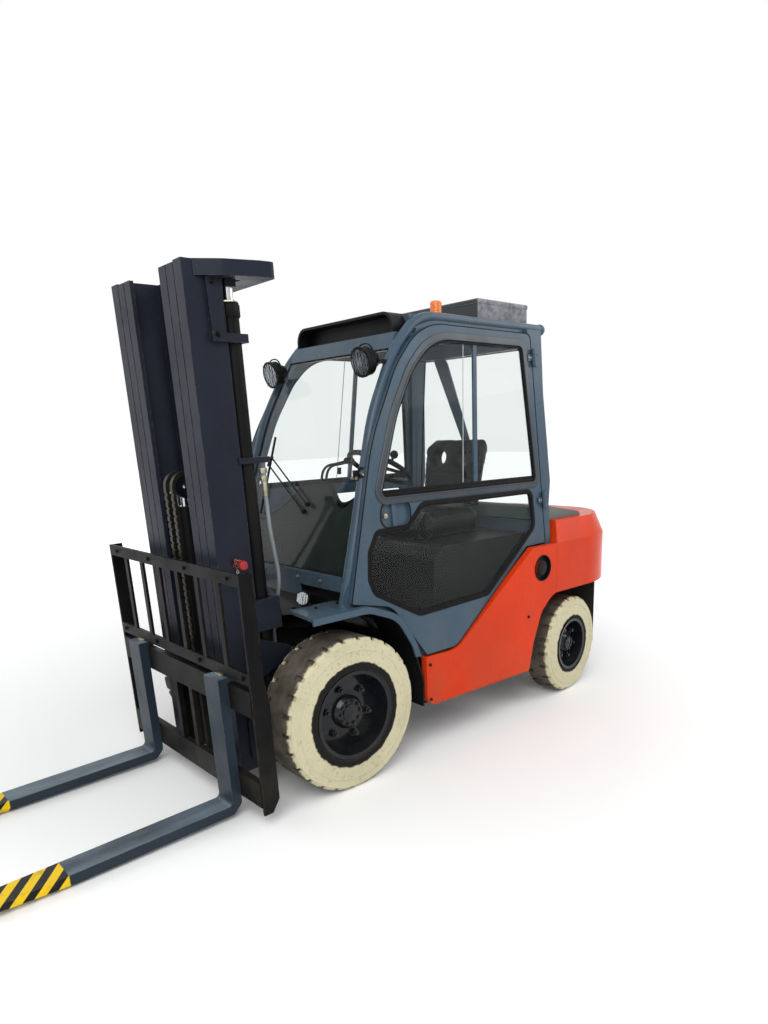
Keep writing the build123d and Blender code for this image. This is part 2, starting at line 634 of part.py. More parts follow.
def dashboard():
    """Cowl behind the windscreen with its waved top edge, and the console that carries the wheel."""
    reach = BODY_HALF_W - 109
    wave = shape([(-reach, SCREEN_FOOT_Z + 0.3), (-reach, 1140), (-290, 1150), (-120, 1235), (20, 1350), (215, 1350),
                  (330, 1225), (reach - 20, 1325), (reach - 10, SCREEN_FOOT_Z + 0.3)],
                 [2, 10, 150, 100, 110, 110, 50, 5, 2])
    cowl = along_x(wave, -420, -60) & glass_side(14) & cab_inside(GUARD_IN + GUARD_R + 4)
    cowl = cowl - glass_side(34)
    console = along_y(shape([(-110, SCREEN_FOOT_Z + 2), (-180, 1190), (-300, 1240), (-430, 1190), (-450, 1000),
                             (-400, 900), (-250, 900)], [2, 20, 30, 40, 30, 20, 20]), 10, 180)
    return cowl + (console & glass_side(20)) + (console & block(-500, -120, 0, 200, 890, SCREEN_FOOT_Z + 1))


def seat():
    """Driver's seat: cushion and a tall back with rounded shoulders and two oval openings."""
    cushion = Pos(-1055, 0, 1075) * Box(480, 480, 149.4)
    back_profile = [(-1275, 1010), (-1195, 1010), (-1265, 1500), (-1345, 1545), (-1378, 1505)]
    back = along_y(shape(back_profile, [10, 30, 40, 20, 20]), -230, 230)
    front = shape([(-230, 1000), (-230, 1540), (230, 1540), (230, 1000)], [20, 150, 150, 20])
    opening = Pos(-1270, 100, 1430) * Rot(0, 90, 0) * extrude(Ellipse(50, 42), amount=140, both=True)
    return cushion + (back & along_x(front, -1400, -1150)) - both(opening)


STEERING_TILT = 30
STEERING_CENTRE = (-640, 90, 1400)


def steering_column():
    """Steering column from the console to the wheel."""
    x, y, z = STEERING_CENTRE
    base = Pos(x, y, z) * Rot(0, -STEERING_TILT, 0)
    return base * (Pos(0, 0, -240) * Cylinder(24, 468) + Pos(0, 0, -2) * Cylinder(8, 20))


def steering_wheel():
    """Steering wheel with its hub and spokes."""
    x, y, z = STEERING_CENTRE
    place = Pos(x, y, z) * Rot(0, -STEERING_TILT, 0)
    ring = Torus(165, 13)
    hub = Pos(0, 0, 7) * Cylinder(34, 24)
    body = ring + hub
    for i in range(3):
        body = body + Rot(0, 0, 120 * i) * Pos(84, 0, 4) * Box(158, 26, 10)
    return place * (body - Cylinder(8.4, 22))


def work_lamps():
    """Round work lamps in front of the guard tubes, on brackets from the tubes."""
    place = Pos(-347, LAMP_Y, LAMP_Z) * Rot(0, 90 + LAMP_DROP, 0)
    shell = place * (Pos(0, 0, 8) * Cylinder(LAMP_R, 40) + Pos(0, 0, -32) * Cone(34, LAMP_R - 8, 44))
    rim = place * (Pos(0, 0, 26) * (Cylinder(LAMP_R + 4, 12) - Cylinder(LAMP_R - 6, 14)))
    arm = Pos(-388, LAMP_Y + 22, LAMP_Z - 4) * Box(40, 92, 16) + Pos(-417, LAMP_Y + 51, LAMP_Z - 4) * Box(40, 36, 16)
    lamp = (shell + rim + arm) - guard_tube(GUARD_R + TUBE_SEAT)
    keep = lamp.solids().sort_by(SortBy.VOLUME)[-1]
    return both(keep)


# Doors

def hinge_place(z):
    """Frame of a hinge of the left door, drawn upright, with its Z along the hinge line."""
    x = DOOR_HINGE_X + (z - DOOR_HINGE_Z) * math.tan(math.radians(HINGE_LEAN))
    return Pos(x, CAB_HALF_W + DOOR_HINGE_OUT, z) * Rot(0, HINGE_LEAN, 0)


def frame_hinges():
    """Hinge halves on the left rear pillar, with their pins, drawn upright."""
    body = []
    for z in DOOR_HINGES_Z:
        half = Cylinder(HINGE_PIN_R, 90)
        for end in (-30, 30):
            half = half + Pos(0, 0, end) * Cylinder(HINGE_R, 26)
            half = half + Pos(-22, 4 - DOOR_HINGE_OUT, end) * Box(44, 9, 26)
        body.append(hinge_place(z) * half)
    return body[0] + body[1]


def door_hinges():
    """Hinge halves on the left door, each a sleeve on its pin, drawn upright."""
    body = []
    for z in DOOR_HINGES_Z:
        half = Cylinder(HINGE_R, 32) + Pos(22, 4 - DOOR_HINGE_OUT, 0) * Box(44, 9, 32)
        body.append(hinge_place(z) * (half - Cylinder(HINGE_PIN_R + 0.5, 40)))
    return body


def door_leaf():
    """Outline of the door, kept clear of the side panel's upper edge."""
    panel_face = shape(PANEL_OUTLINE, PANEL_RADII)
    return shape(DOOR_OUTLINE, DOOR_RADII) - offset(panel_face, amount=DOOR_GAP + 1, kind=Kind.INTERSECTION)


def left_door():
    """Left door leaf with its window cuts, handle recess and divider, and the panes that fill them."""
    upper = shape(UPPER_WINDOW, UPPER_RADII)
    lower = shape(LOWER_WINDOW, LOWER_RADII)
    leaf = at_depth(door_leaf() - upper - lower, 0, DOOR_T)
    recess = shape([(-252, 1160), (-437, 1160), (-437, 1274), (-272, 1274)], [44, 44, 44, 44])
    leaf = leaf - at_depth(recess, -1, HANDLE_DEPTH + 1)
    bow = at_depth(shape([(-330, 1150), (-356, 1150), (-356, 1284), (-330, 1284)]), 2, HANDLE_DEPTH)
    divider = at_depth(shape([(-955, 1996), (-981, 1996), (-921, 1294), (-895, 1294)]), 5, DOOR_T - 10)
    panes = at_depth(upper, DOOR_T / 2 - GLASS_T / 2, GLASS_T) - divider
    panes = panes + at_depth(lower, DOOR_T / 2 - GLASS_T / 2, GLASS_T)
    leaf = leaf + (bow & at_depth(offset(recess, amount=2), -2, DOOR_T)) + divider
    for half in door_hinges():
        leaf = leaf + half
    return leaned(leaf), leaned(panes)


def door(side):
    """Door leaf and panes of one side."""
    leaf, panes = left_door()
    if side < 0:
        return mirrored(leaf), mirrored(panes)
    return leaf, panes


# Mast

def channel(y_out, y_in, web_y0, web_y1, z0, z1):
    """One mast rail: two flanges and a web, between two heights."""
    y_lo = min(y_in, y_out)
    y_hi = max(y_in, y_out)
    front = block(MAST_FRONT_X - RAIL_FLANGE, MAST_FRONT_X, y_lo, y_hi, z0, z1)
    rear = block(MAST_REAR_X, MAST_REAR_X + RAIL_FLANGE, y_lo, y_hi, z0, z1)
    web = block(MAST_REAR_X + 1, MAST_FRONT_X - 1, web_y0, web_y1, z0, z1)
    return front + rear + web


OUTER_Y = MAST_HALF_W
OUTER_IN_Y = OUTER_Y - RAIL_W - 4
MIDDLE_Y = OUTER_IN_Y - RAIL_GAP
MIDDLE_IN_Y = MIDDLE_Y - RAIL_W + 1
INNER_Y = MIDDLE_IN_Y - RAIL_GAP
INNER_IN_Y = INNER_Y - RAIL_W + 1
ROLLER_R = RAIL_DEPTH / 2 - RAIL_FLANGE - ROLLER_GAP
ROLLER_X = MAST_FRONT_X - RAIL_DEPTH / 2
LIFT_Y = 290
LIFT_X = MAST_REAR_X - LIFT_BARREL_R - 4
TIE_INNER_X = MAST_REAR_X - 30
TIE_MIDDLE_X = TIE_INNER_X - 6 - TIE_T
TIE_OUTER_X = TIE_MIDDLE_X - 16 - TIE_T


def outer_mast():
    """Fixed outer stage with its head, ties, ram feet, side plates and pivots."""
    rail = channel(OUTER_Y, OUTER_IN_Y, OUTER_Y - RAIL_WEB, OUTER_Y, MAST_BOTTOM_Z, MAST_TOP_Z)
    plate_y = OUTER_Y + SIDE_PLATE_T
    head = shape([(MAST_FRONT_X - 38, OUTER_Y - 1), (MAST_FRONT_X - 138, OUTER_Y + 57),
                  (MAST_FRONT_X - 273, HEAD_HALF_W - 6), (HEAD_REACH_X, HEAD_HALF_W), (HEAD_REACH_X, 0),
                  (HEAD_REACH_X + HEAD_BAR_W, 0), (HEAD_REACH_X + HEAD_BAR_W, OUTER_Y - 1)],
                 [2, 80, 60, 24, 0.5, 0.5, 5])
    head = along_z(head, MAST_TOP_Z - HEAD_H, MAST_TOP_Z)
    strap_z = MAST_TOP_Z - 286
    strap = block(LIFT_X - 46, MAST_FRONT_X - 120, OUTER_Y - 1, OUTER_Y + 11, strap_z, strap_z + 33)
    strap = strap + block(LIFT_X - 46, LIFT_X - 37, OUTER_IN_Y + 2, OUTER_Y + 11, strap_z, strap_z + 33)
    brace = along_y(shape([(283, MAST_TOP_Z - HEAD_H + 5), (354, MAST_TOP_Z - HEAD_H + 5), (348, strap_z + 20),
                           (298, strap_z + 20)]), OUTER_Y - 1, OUTER_Y + 15)
    foot_pad = block(292, 354, OUTER_Y - 1, OUTER_Y + 22, strap_z, strap_z + 33)
    lug_face = make_hull((Pos(PIVOT_X, PIVOT_Z) * Circle(42)).edges()
                         + (Pos(MAST_REAR_X + 60, PIVOT_Z - 60) * Circle(50)).edges()
                         + (Pos(MAST_REAR_X + 60, PIVOT_Z + 90) * Circle(50)).edges())
    lug = along_y(lug_face, OUTER_Y - 1, plate_y) - rod_y(PIVOT_X, PIVOT_Z, PIVOT_PIN_R + 0.6, 300, 360)
    tilt_face = make_hull((Pos(TILT_EYE_X, TILT_EYE_Z) * Circle(34)).edges()
                          + (Pos(MAST_REAR_X + 50, TILT_EYE_Z - 70) * Circle(30)).edges()
                          + (Pos(MAST_REAR_X + 50, TILT_EYE_Z + 70) * Circle(30)).edges())
    tilt_plate = along_y(tilt_face, OUTER_Y - 1, plate_y)
    tilt_pin = rod_y(TILT_EYE_X, TILT_EYE_Z, TILT_PIN_R, TILT_Y - 26, OUTER_Y)
    foot = block(LIFT_X - 40, MAST_REAR_X + 40, OUTER_IN_Y, OUTER_Y, MAST_BOTTOM_Z, MAST_BOTTOM_Z + 28)
    clip = block(HOSE_X - 14, MAST_REAR_X + 12, OUTER_Y - 1, OUTER_Y + 7, CLIP_Z, CLIP_Z + 24)
    clip = clip + block(HOSE_X - 14, HOSE_X + 14, LIFT_Y - 12, OUTER_Y + 7, CLIP_Z, CLIP_Z + 24)
    half = rail + head + strap + brace + foot_pad + clip + lug + tilt_plate + tilt_pin + foot
    body = both(half)
    for z0, z1 in ((MAST_BOTTOM_Z, MAST_BOTTOM_Z + 110), (760, 900)):
        tie = block(TIE_OUTER_X, TIE_OUTER_X + TIE_T, -plate_y, plate_y, z0, z1)
        ends = block(TIE_OUTER_X, MAST_REAR_X + 40, OUTER_Y - 1, plate_y, z0, z1)
        body = body + tie + both(ends)
    return body


def lift_barrels():
    """Barrels of the two main lift rams."""
    z0 = MAST_BOTTOM_Z + 28
    z1 = MAST_TOP_Z - 136
    barrel = rod_z(LIFT_X, LIFT_Y, LIFT_BARREL_R, z0, z1 - 25)
    barrel = barrel + rod_z(LIFT_X, LIFT_Y, LIFT_BARREL_R + 3.5, z1 - 55, z1)
    port = Pos(LIFT_X - PORT_REACH / 2, LIFT_Y, PORT_Z) * Rot(0, 90, 0) * Cylinder(HOSE_R + 3, PORT_REACH)
    return both(barrel + port - rod_z(LIFT_X, LIFT_Y, LIFT_ROD_R + 1, LIFT_ROD_FOOT_Z - 10, z1 + 15))


def mast_hoses():
    """Hoses of the main lift rams, from the unions under the rails' clips down to the barrels' ports."""
    end_x = LIFT_X - PORT_REACH
    route = [(HOSE_X, LIFT_Y, UNION_Z), (HOSE_X - 6, LIFT_Y, 1190), (124, LIFT_Y - 4, 960), (146, 228, 720),
             (150, 228, PORT_Z + 110), (end_x - 50, LIFT_Y, PORT_Z), (end_x, LIFT_Y, PORT_Z)]
    line = FilletPolyline(*route, radius=[500, 350, 250, 120, 40])
    hose = sweep(Plane(origin=line @ 0, z_dir=line % 0) * Circle(HOSE_R), line)
    union = rod_z(HOSE_X, LIFT_Y, HOSE_R + 4, UNION_Z - 2, CLIP_Z)
    return both(hose + union)


def middle_mast():
    """Second stage: double-flanged rails, rear ties, ram lugs and rollers."""
    z0 = MAST_BOTTOM_Z + 30
    z1 = MAST_TOP_Z - 5
    web_mid = (MIDDLE_Y + MIDDLE_IN_Y) / 2
    rail = channel(MIDDLE_Y, MIDDLE_IN_Y, web_mid - 7, web_mid + 7, z0, z1)
    roller = rod_y(ROLLER_X, z0 + 90, ROLLER_R, web_mid + 6, OUTER_Y - RAIL_WEB - 7)
    gusset_y = LIFT_Y - LIFT_BARREL_R - 9
    half = rail + roller
    middle_z = (z0 + z1) / 2
    for a, b in ((z0 + 20, z0 + 160), (middle_z - 30, middle_z + 110), (z1 - 130, z1 - 20)):
        half = half + block(TIE_MIDDLE_X, MAST_REAR_X + 1, MIDDLE_IN_Y + 4, gusset_y, a, b)
        half = half + block(TIE_MIDDLE_X, TIE_MIDDLE_X + TIE_T, -1, gusset_y, a, b)
    lug = block(TIE_MIDDLE_X, MAST_REAR_X - 16, gusset_y - 5, OUTER_Y - 8, z1 - 76, z1 - 30)
    return both(half + lug)


def lift_rods():
    """Rods of the main lift rams, which push the second stage."""
    z1 = MAST_TOP_Z - 5 - 76
    return both(rod_z(LIFT_X, LIFT_Y, LIFT_ROD_R, LIFT_ROD_FOOT_Z, z1))


def inner_mast():
    """Third stage with its rear ties, rollers and the foot of the free-lift ram."""
    z0 = MAST_BOTTOM_Z + 30
    z1 = MAST_TOP_Z - 5
    rail = channel(INNER_Y, INNER_IN_Y, INNER_Y - RAIL_WEB, INNER_Y, z0, z1)
    roller = rod_y(ROLLER_X, z0 + 90, ROLLER_R, INNER_Y - 1, (MIDDLE_Y + MIDDLE_IN_Y) / 2 - 7 - 5)
    half = rail + roller
    middle_z = (z0 + z1) / 2
    for a, b in ((z0, z0 + 120), (middle_z - 180, middle_z - 60), (z1 - 110, z1)):
        half = half + block(TIE_INNER_X, MAST_REAR_X + 1, -1, INNER_Y, a, b)
    foot = block(MAST_REAR_X - 5, RAM_X + RAM_R, -88, 88, z0, z0 + 24)
    arm = block(MAST_REAR_X - 5, RAM_X - RAM_R - 30, -88, 88, z0, z0 + 80)
    return both(half) + foot + arm


def free_lift_ram():
    """Barrel of the free-lift ram with the chain anchors."""
    z0 = MAST_BOTTOM_Z + 54
    z1 = SHEAVE_Z - SHEAVE_R - 34
    barrel = rod_z(RAM_X, 0, RAM_R, z0, z1)
    barrel = barrel - rod_z(RAM_X, 0, RAM_ROD_R + 1, z0 + 300, z1 + 5)
    anchor_x = RAM_X - SHEAVE_R - CHAIN_T / 2
    anchor = block(anchor_x - 14, RAM_X - 30, -CHAIN_Y - 20, CHAIN_Y + 20, 300, 330)
    return barrel + anchor


def free_lift_head():
    """Rod of the free-lift ram with its cross-head and two chain sheaves."""
    z1 = SHEAVE_Z - SHEAVE_R - 34
    rod = rod_z(RAM_X, 0, RAM_ROD_R, 520, SHEAVE_Z - 10)
    head = block(RAM_X - 30, RAM_X + 30, -14, 14, z1 + 6, SHEAVE_Z + 24)
    axle = rod_y(RAM_X, SHEAVE_Z, 14, -CHAIN_Y - 20, CHAIN_Y + 20)
    sheaves = both(rod_y(RAM_X, SHEAVE_Z, SHEAVE_R, CHAIN_Y - CHAIN_W / 2, CHAIN_Y + CHAIN_W / 2))
    return rod + head + axle + sheaves


def lift_chains():
    """The two free-lift chains over their sheaves, drawn at the lowered height."""
    y0 = CHAIN_Y - CHAIN_W / 2
    y1 = CHAIN_Y + CHAIN_W / 2
    r0 = SHEAVE_R + 0.3
    r1 = r0 + CHAIN_T
    ring = rod_y(RAM_X, SHEAVE_Z, r1, y0, y1) - rod_y(RAM_X, SHEAVE_Z, r0, y0 - 1, y1 + 1)
    arch = ring & block(RAM_X - r1 - 5, RAM_X + r1 + 5, y0, y1, SHEAVE_Z, SHEAVE_Z + r1 + 5)
    front = block(RAM_X + r0, RAM_X + r1, y0, y1, 640, SHEAVE_Z)
    gaps = [Pos(RAM_X + r1, CHAIN_Y, z) * Box(8, CHAIN_W + 2, 9) for z in range(660, SHEAVE_Z, 30)]
    front = front - gaps
    back = block(RAM_X - r1, RAM_X - r0, y0, y1, 331, SHEAVE_Z)
    return both(arch + front + back)


# Carriage

def carriage():
    """Fork carriage: two bars, side plates, rollers and the chain anchor."""
    x1 = CARRIAGE_FACE_X
    x0 = x1 - CARRIAGE_BAR_T
    half = BACKREST_HALF_W - 12 - FORK_SEAT
    z0 = CARRIAGE_BOTTOM_Z
    z1 = z0 + CARRIAGE_H
    bars = block(x0, x1, -half, half, z0, z0 + 110) + block(x0, x1, -half, half, z1 - 110, z1)
    plate = block(ROLLER_X - 40, x0 + 2, INNER_IN_Y - 34, INNER_IN_Y - 10, z0 + 20, z1 - 10)
    rollers = rod_y(ROLLER_X, z0 + 130, ROLLER_R, INNER_IN_Y - 12, INNER_Y - RAIL_WEB - 6)
    rollers = rollers + rod_y(ROLLER_X, z1 - 90, ROLLER_R, INNER_IN_Y - 12, INNER_Y - RAIL_WEB - 6)
    strut = block(x0 + 1, x1 - 4, 60, 90, z0 + 105, z1 - 105)
    anchor_x = RAM_X + SHEAVE_R + CHAIN_T + 6
    anchor = block(anchor_x, x0 + 2, CHAIN_Y - 20, CHAIN_Y + 20, z1 - 50, z1 - 20)
    return both(plate + rollers + strut + anchor) + bars


def load_backrest():
    """Load backrest with tall side plates and vertical bars."""
    x1 = CARRIAGE_FACE_X - 3
    outer = BACKREST_HALF_W
    side = along_y(shape([(x1, BACKREST_FOOT_Z), (x1, BACKREST_TOP_Z), (x1 - 60, BACKREST_TOP_Z), (x1 - 60, 660),
                          (x1 - 76, 560), (x1 - 76, 130), (x1 - 40, BACKREST_FOOT_Z)]), outer - 12, outer)
    top = block(x1 - 14, x1, -outer + 1, outer - 1, BACKREST_TOP_Z - 50, BACKREST_TOP_Z)
    low = block(x1 - 14, x1, -outer + 1, outer - 1, 640, 690)
    body = both(side) + top + low
    for i in range(6):
        y = -450 + 180 * i
        body = body + block(x1 - 13, x1 - 1, y - 15, y + 15, 685, BACKREST_TOP_Z - 45)
    return body


def fork(side):
    """One fork: hooked shank, rounded heel and tapered blade."""
    x0 = CARRIAGE_FACE_X + FORK_SEAT
    x1 = x0 + FORK_T
    z0 = FORK_BOTTOM_Z
    top = CARRIAGE_BOTTOM_Z + CARRIAGE_H + 22
    tip = x1 + FORK_LENGTH
    outline = [(x0, top), (x0, z0 + 40), (x0 + 40, z0), (tip - 420, z0), (tip, z0 + FORK_T - 12), (tip, z0 + FORK_T),
               (x1, z0 + FORK_T), (x1, top)]
    blade = along_y(shape(outline, [4, 30, 30, 60, 3, 3, 22, 4]), -FORK_W / 2, FORK_W / 2)
    hook = block(x0 - CARRIAGE_BAR_T - 12, x0 + 2, -FORK_W / 2 + 1, FORK_W / 2 - 1, top - 21, top)
    y = side * FORK_CENTRE_Y
    return Pos(0, y, 0) * (blade + hook)


# Tilt rams

def tilt_line():
    """Direction and length from the frame anchor to the mast eye, with the mast at rest."""
    eye = leaning(Pos(TILT_EYE_X, 0, TILT_EYE_Z) * Sphere(1)).center()
    dx = eye.X - TILT_ANCHOR_X
    dz = eye.Z - TILT_ANCHOR_Z
    return math.hypot(dx, dz), math.degrees(math.atan2(dz, dx))


def along_tilt(solid, side):
    """Places a piece drawn along +X from the frame anchor onto the tilt ram's line."""
    angle = tilt_line()[1]
    return Pos(TILT_ANCHOR_X, side * TILT_Y, TILT_ANCHOR_Z) * Rot(0, -angle, 0) * solid


def bar_x(radius, x0, x1):
    """A round bar along X."""
    return Pos((x0 + x1) / 2, 0, 0) * Rot(0, 90, 0) * Cylinder(radius, x1 - x0)


def tilt_barrel(side):
    """Barrel of one tilt ram with its rear eye."""
    length = tilt_line()[0]
    end = length - 110
    eye = rod_y(0, 0, 34, -22, 22)
    body = eye + bar_x(24, 20, 60) + bar_x(TILT_BARREL_R, 52, end)
    body = body - bar_x(TILT_ROD_R + 1, 120, end + 5)
    return along_tilt(body - rod_y(0, 0, TILT_PIN_R + 0.6, -30, 30), side)


def tilt_rod(side):
    """Rod of one tilt ram with its front eye."""
    length = tilt_line()[0]
    eye = rod_y(length, 0, 32, -22, 22)
    body = eye + bar_x(TILT_ROD_R, 260, length - 20)
    return along_tilt(body - rod_y(length, 0, TILT_PIN_R + TILT_PIN_PLAY, -30, 30), side)


def tilt_anchors():
    """Brackets and pins on the frame that hold the tilt rams' rear eyes."""
    plate = along_y(make_hull((Pos(TILT_ANCHOR_X, TILT_ANCHOR_Z) * Circle(34)).edges()
                              + (Pos(TILT_ANCHOR_X - 90, TILT_ANCHOR_Z + 10) * Circle(34)).edges()),
                    TILT_Y + 28, 336)
    pin = rod_y(TILT_ANCHOR_X, TILT_ANCHOR_Z, TILT_PIN_R, TILT_Y - 24, 340)
    return both(plate + pin)


def build():
    """All pieces by name."""
    pieces = {
        "main_frame": main_frame() + tilt_anchors(),
        "side_panels": side_panels(),
        "front_fenders": front_fenders(),
        "fender_liners": fender_liners(),
        "counterweight": counterweight(),
        "counterweight_base": counterweight_base(),
        "radiator_cover": radiator_cover(),
        "engine_block": engine_block(),
        "engine_hood": engine_hood(),
        "drive_axle": drive_axle(),
        "steer_axle": steer_axle(),
        "cab_frame": cab_frame(),
        "roof_panel": roof_panel(),
        "roof_box": roof_box(),
        "beacon": beacon(),
        "front_visor": front_visor(),
        "windscreen": windscreen(),
        "rear_window": rear_window(),
        "front_cowl": front_cowl(),
        "dashboard": dashboard() + steering_column(),
        "seat": seat(),
        "work_lamps": work_lamps(),
        "steering_wheel": steering_wheel(),
        "outer_mast": leaning(outer_mast()),
        "lift_barrels": leaning(lift_barrels()),
        "mast_hoses": leaning(mast_hoses()),
        "middle_mast": leaning(middle_mast()),
        "lift_rods": leaning(lift_rods()),
        "inner_mast": leaning(inner_mast()),
        "free_lift_ram": leaning(free_lift_ram()),
        "free_lift_head": leaning(free_lift_head()),
        "lift_chains": leaning(lift_chains()),
        "carriage": leaning(carriage()),
        "load_backrest": leaning(load_backrest()),
    }
    for name, side in (("left", 1), ("right", -1)):
        pieces[f"front_tyre_{name}"], pieces[f"front_rim_{name}"] = front_wheel(side)
        pieces[f"rear_tyre_{name}"], pieces[f"rear_rim_{name}"] = rear_wheel(side)
        pieces[f"knuckle_{name}"] = knuckle(side)
        pieces[f"door_{name}"], pieces[f"door_glass_{name}"] = door(side)
        pieces[f"fork_{name}"] = leaning(fork(side))
        pieces[f"tilt_barrel_{name}"] = tilt_barrel(side)
        pieces[f"tilt_rod_{name}"] = tilt_rod(side)
    return pieces


def main():
    pieces = build()
    boxes = [piece.bounding_box() for piece in pieces.values()]
    middle_x = (min(b.min.X for b in boxes) + max(b.max.X for b in boxes)) / 2
    print(f"front axle at X = {-middle_x:.3f}")
    os.makedirs("parts", exist_ok=True)
    for name, piece in pieces.items():
        export_step(Pos(-middle_x, 0, 0) * piece, f"parts/{name}.step")


main()
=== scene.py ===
"""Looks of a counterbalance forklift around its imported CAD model."""
import math

import bmesh
import bpy
from bpy.props import FloatProperty, FloatVectorProperty, IntProperty, PointerProperty
from mathutils import Matrix, Vector


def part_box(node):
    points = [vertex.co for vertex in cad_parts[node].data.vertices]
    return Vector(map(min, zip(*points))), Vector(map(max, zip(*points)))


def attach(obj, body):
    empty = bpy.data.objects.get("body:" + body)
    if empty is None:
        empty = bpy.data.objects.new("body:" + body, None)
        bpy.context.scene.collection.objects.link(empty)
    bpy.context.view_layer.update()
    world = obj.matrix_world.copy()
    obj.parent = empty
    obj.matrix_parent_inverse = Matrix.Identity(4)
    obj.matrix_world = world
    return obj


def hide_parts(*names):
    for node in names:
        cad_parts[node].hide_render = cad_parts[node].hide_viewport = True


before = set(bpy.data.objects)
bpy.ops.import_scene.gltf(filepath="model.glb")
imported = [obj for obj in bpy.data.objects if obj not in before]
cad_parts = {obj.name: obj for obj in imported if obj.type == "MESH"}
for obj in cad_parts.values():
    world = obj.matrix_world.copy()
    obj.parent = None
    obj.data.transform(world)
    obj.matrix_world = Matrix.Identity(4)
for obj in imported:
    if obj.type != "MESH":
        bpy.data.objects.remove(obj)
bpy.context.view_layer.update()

bl_info = {
    "name": "Forklift looks",
    "version": (1, 1, 0),
    "blender": (4, 5, 0),
    "location": "3D View > Sidebar > Forklift",
    "description": "Paint, rubber, glass, seat and fittings of a counterbalance forklift",
    "category": "Object",
}

AXLE_X = sum(corner.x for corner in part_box("front_tyre_left")) / 2
SIDES = (("left", 1), ("right", -1))

# Sizes are in metres. Places are counted from the middle of the front axle, apart from PIVOT and LAMPS, which
# are the scene's own: x forward, y to the left, z up from the floor.

# The mast's pin and its lean at rest, the lift rams' place, the hoses beside them, the chains' pins.
PIVOT = Vector((AXLE_X + 0.1, 0, 0.27))
MAST_LEAN = math.radians(1.0)
LIFT_RAM = (0.238, 0.290)
HOSE_X = 0.158
CHAIN_PIN_X = 0.4493
CHAIN_PITCH = 0.030
CAP_TETHER = ((0.004, 0.030, 0.018), (0.022, 0.026, 0.030), (0.034, 0.012, 0.012), (0.030, 0.001, -0.004))
STRIPE_START = 1.222

# The cab's sides lean inwards from a foot. The guard tube runs from its foot to its turn, the sliding panes
# stand PANE_OUT from the middle before the lean, and each door's hinge line leans back from a place.
CAB_LEAN = math.radians(4.6)
LEAN_FOOT = Vector((0, 0.590, 0.524))
GUARD_FOOT = Vector((-0.040, 0.537, 0.826))
GUARD_TURN = Vector((-0.310, 0.537, 1.661))
CLAMP_Z = 1.410
PANE_OUT = 0.582
HINGE_X, HINGE_Z = -1.4355, 1.300
HINGE_LEAN = math.radians(2.3)
WIPER_ROOT = (0.094, 1.236)
WIPER_TIP = (-0.291, 1.449)
LAMP_PLACE = (-0.347, 0.371, 1.886)
LAMP_DROP = math.radians(12)
ROOF_BOX = (-1.548, -1.146, -0.250, 0.330)
DASH_EDGE = ((-0.462, 1.140), (-0.290, 1.150), (-0.120, 1.235), (0.020, 1.350), (0.215, 1.350),
             (0.330, 1.225), (0.438, 1.300))
LEVER_YS = (0.030, 0.068)
LEVER_BEND = ((-0.345, 1.215), (-0.314, 1.300), (-0.312, 1.380), (-0.345, 1.425), (-0.420, 1.430),
              (-0.473, 1.441))
CUSHION_LOW = (-1.285, -0.228, 1.008)
CUSHION_HIGH = (-0.825, 0.228, 1.136)
BACK_PROFILE = ((-1.272, 1.152), (-1.222, 1.152), (-1.277, 1.490), (-1.345, 1.530), (-1.364, 1.498))
BACK_HALF_W = 0.218

BODY_HALF_W = 0.599
FILLER_PLACE = (-1.375, 0, 0.818)

# Of each wheel: its turn, half width, radius of the bead, how far out of the middle the disc stands, the
# radii of the rings of bolts and of nuts, and the inner and outer radius of the wall paint.
WHEELS = (("front", 0.0, 0.1125, 0.299975, 0.0375, 0.054, 0.1174, 0.243, 0.350),
          ("rear", math.radians(6), 0.0875, 0.245895, 0.0245, 0.036, 0.090, 0.180, 0.287))

# Each lamp's name, place, width and power; the camera's place, its yaw, pitch and roll in degrees, and its
# focal length and optical centre in pixels of the picture.
LAMPS = (("key", (3.5, 4.0, 5.0), 4.0, 260.0), ("fill", (4.5, -3.0, 3.5), 4.0, 60.0),
         ("back", (-4.0, 3.0, 4.0), 3.5, 90.0))
CAMERA_PLACE = (1.81333, 2.98566, 1.56952)
CAMERA_ANGLES = (227.174, -15.278, -1.780)
PHOTO_W, PHOTO_H = 768, 1024
FOCAL_PX = 710.09
OPTIC_X, OPTIC_Y = 416.89, 626.78


# Settings

def linear(colour):
    """An sRGB hex colour as the linear colour that a socket takes."""
    channels = [int(colour[i:i + 2], 16) / 255 for i in (1, 3, 5)]
    return tuple(c / 12.92 if c <= 0.04045 else ((c + 0.055) / 1.055) ** 2.4 for c in channels) + (1.0,)


def colour_setting(name, description, colour):
    """A colour that a user may change."""
    return FloatVectorProperty(name=name, description=description, subtype="COLOR", size=4, min=0, max=1,
                               default=linear(colour))


def length_setting(name, description, length):
    """A length in metres that a user may change."""
    return FloatProperty(name=name, description=description, default=length, min=0, unit="LENGTH")


class ForkliftColours(bpy.types.PropertyGroup):
    """Colours of the truck's finishes"""
    body: colour_setting("Body", "Enamel of the side panels and the counterweight", "#d63a10")
    cab: colour_setting("Cab", "Enamel of the cab, doors and fenders", "#3b4c5a")
    mast: colour_setting("Mast", "Satin paint of the mast's rails", "#181c27")
    fork: colour_setting("Forks", "Paint of the forks", "#232d37")
    stripe: colour_setting("Stripes", "Warning stripes on the fork tips", "#e8c20f")
    wall: colour_setting("Tyre walls", "Paint on the outside of the tyres", "#c8c1a1")


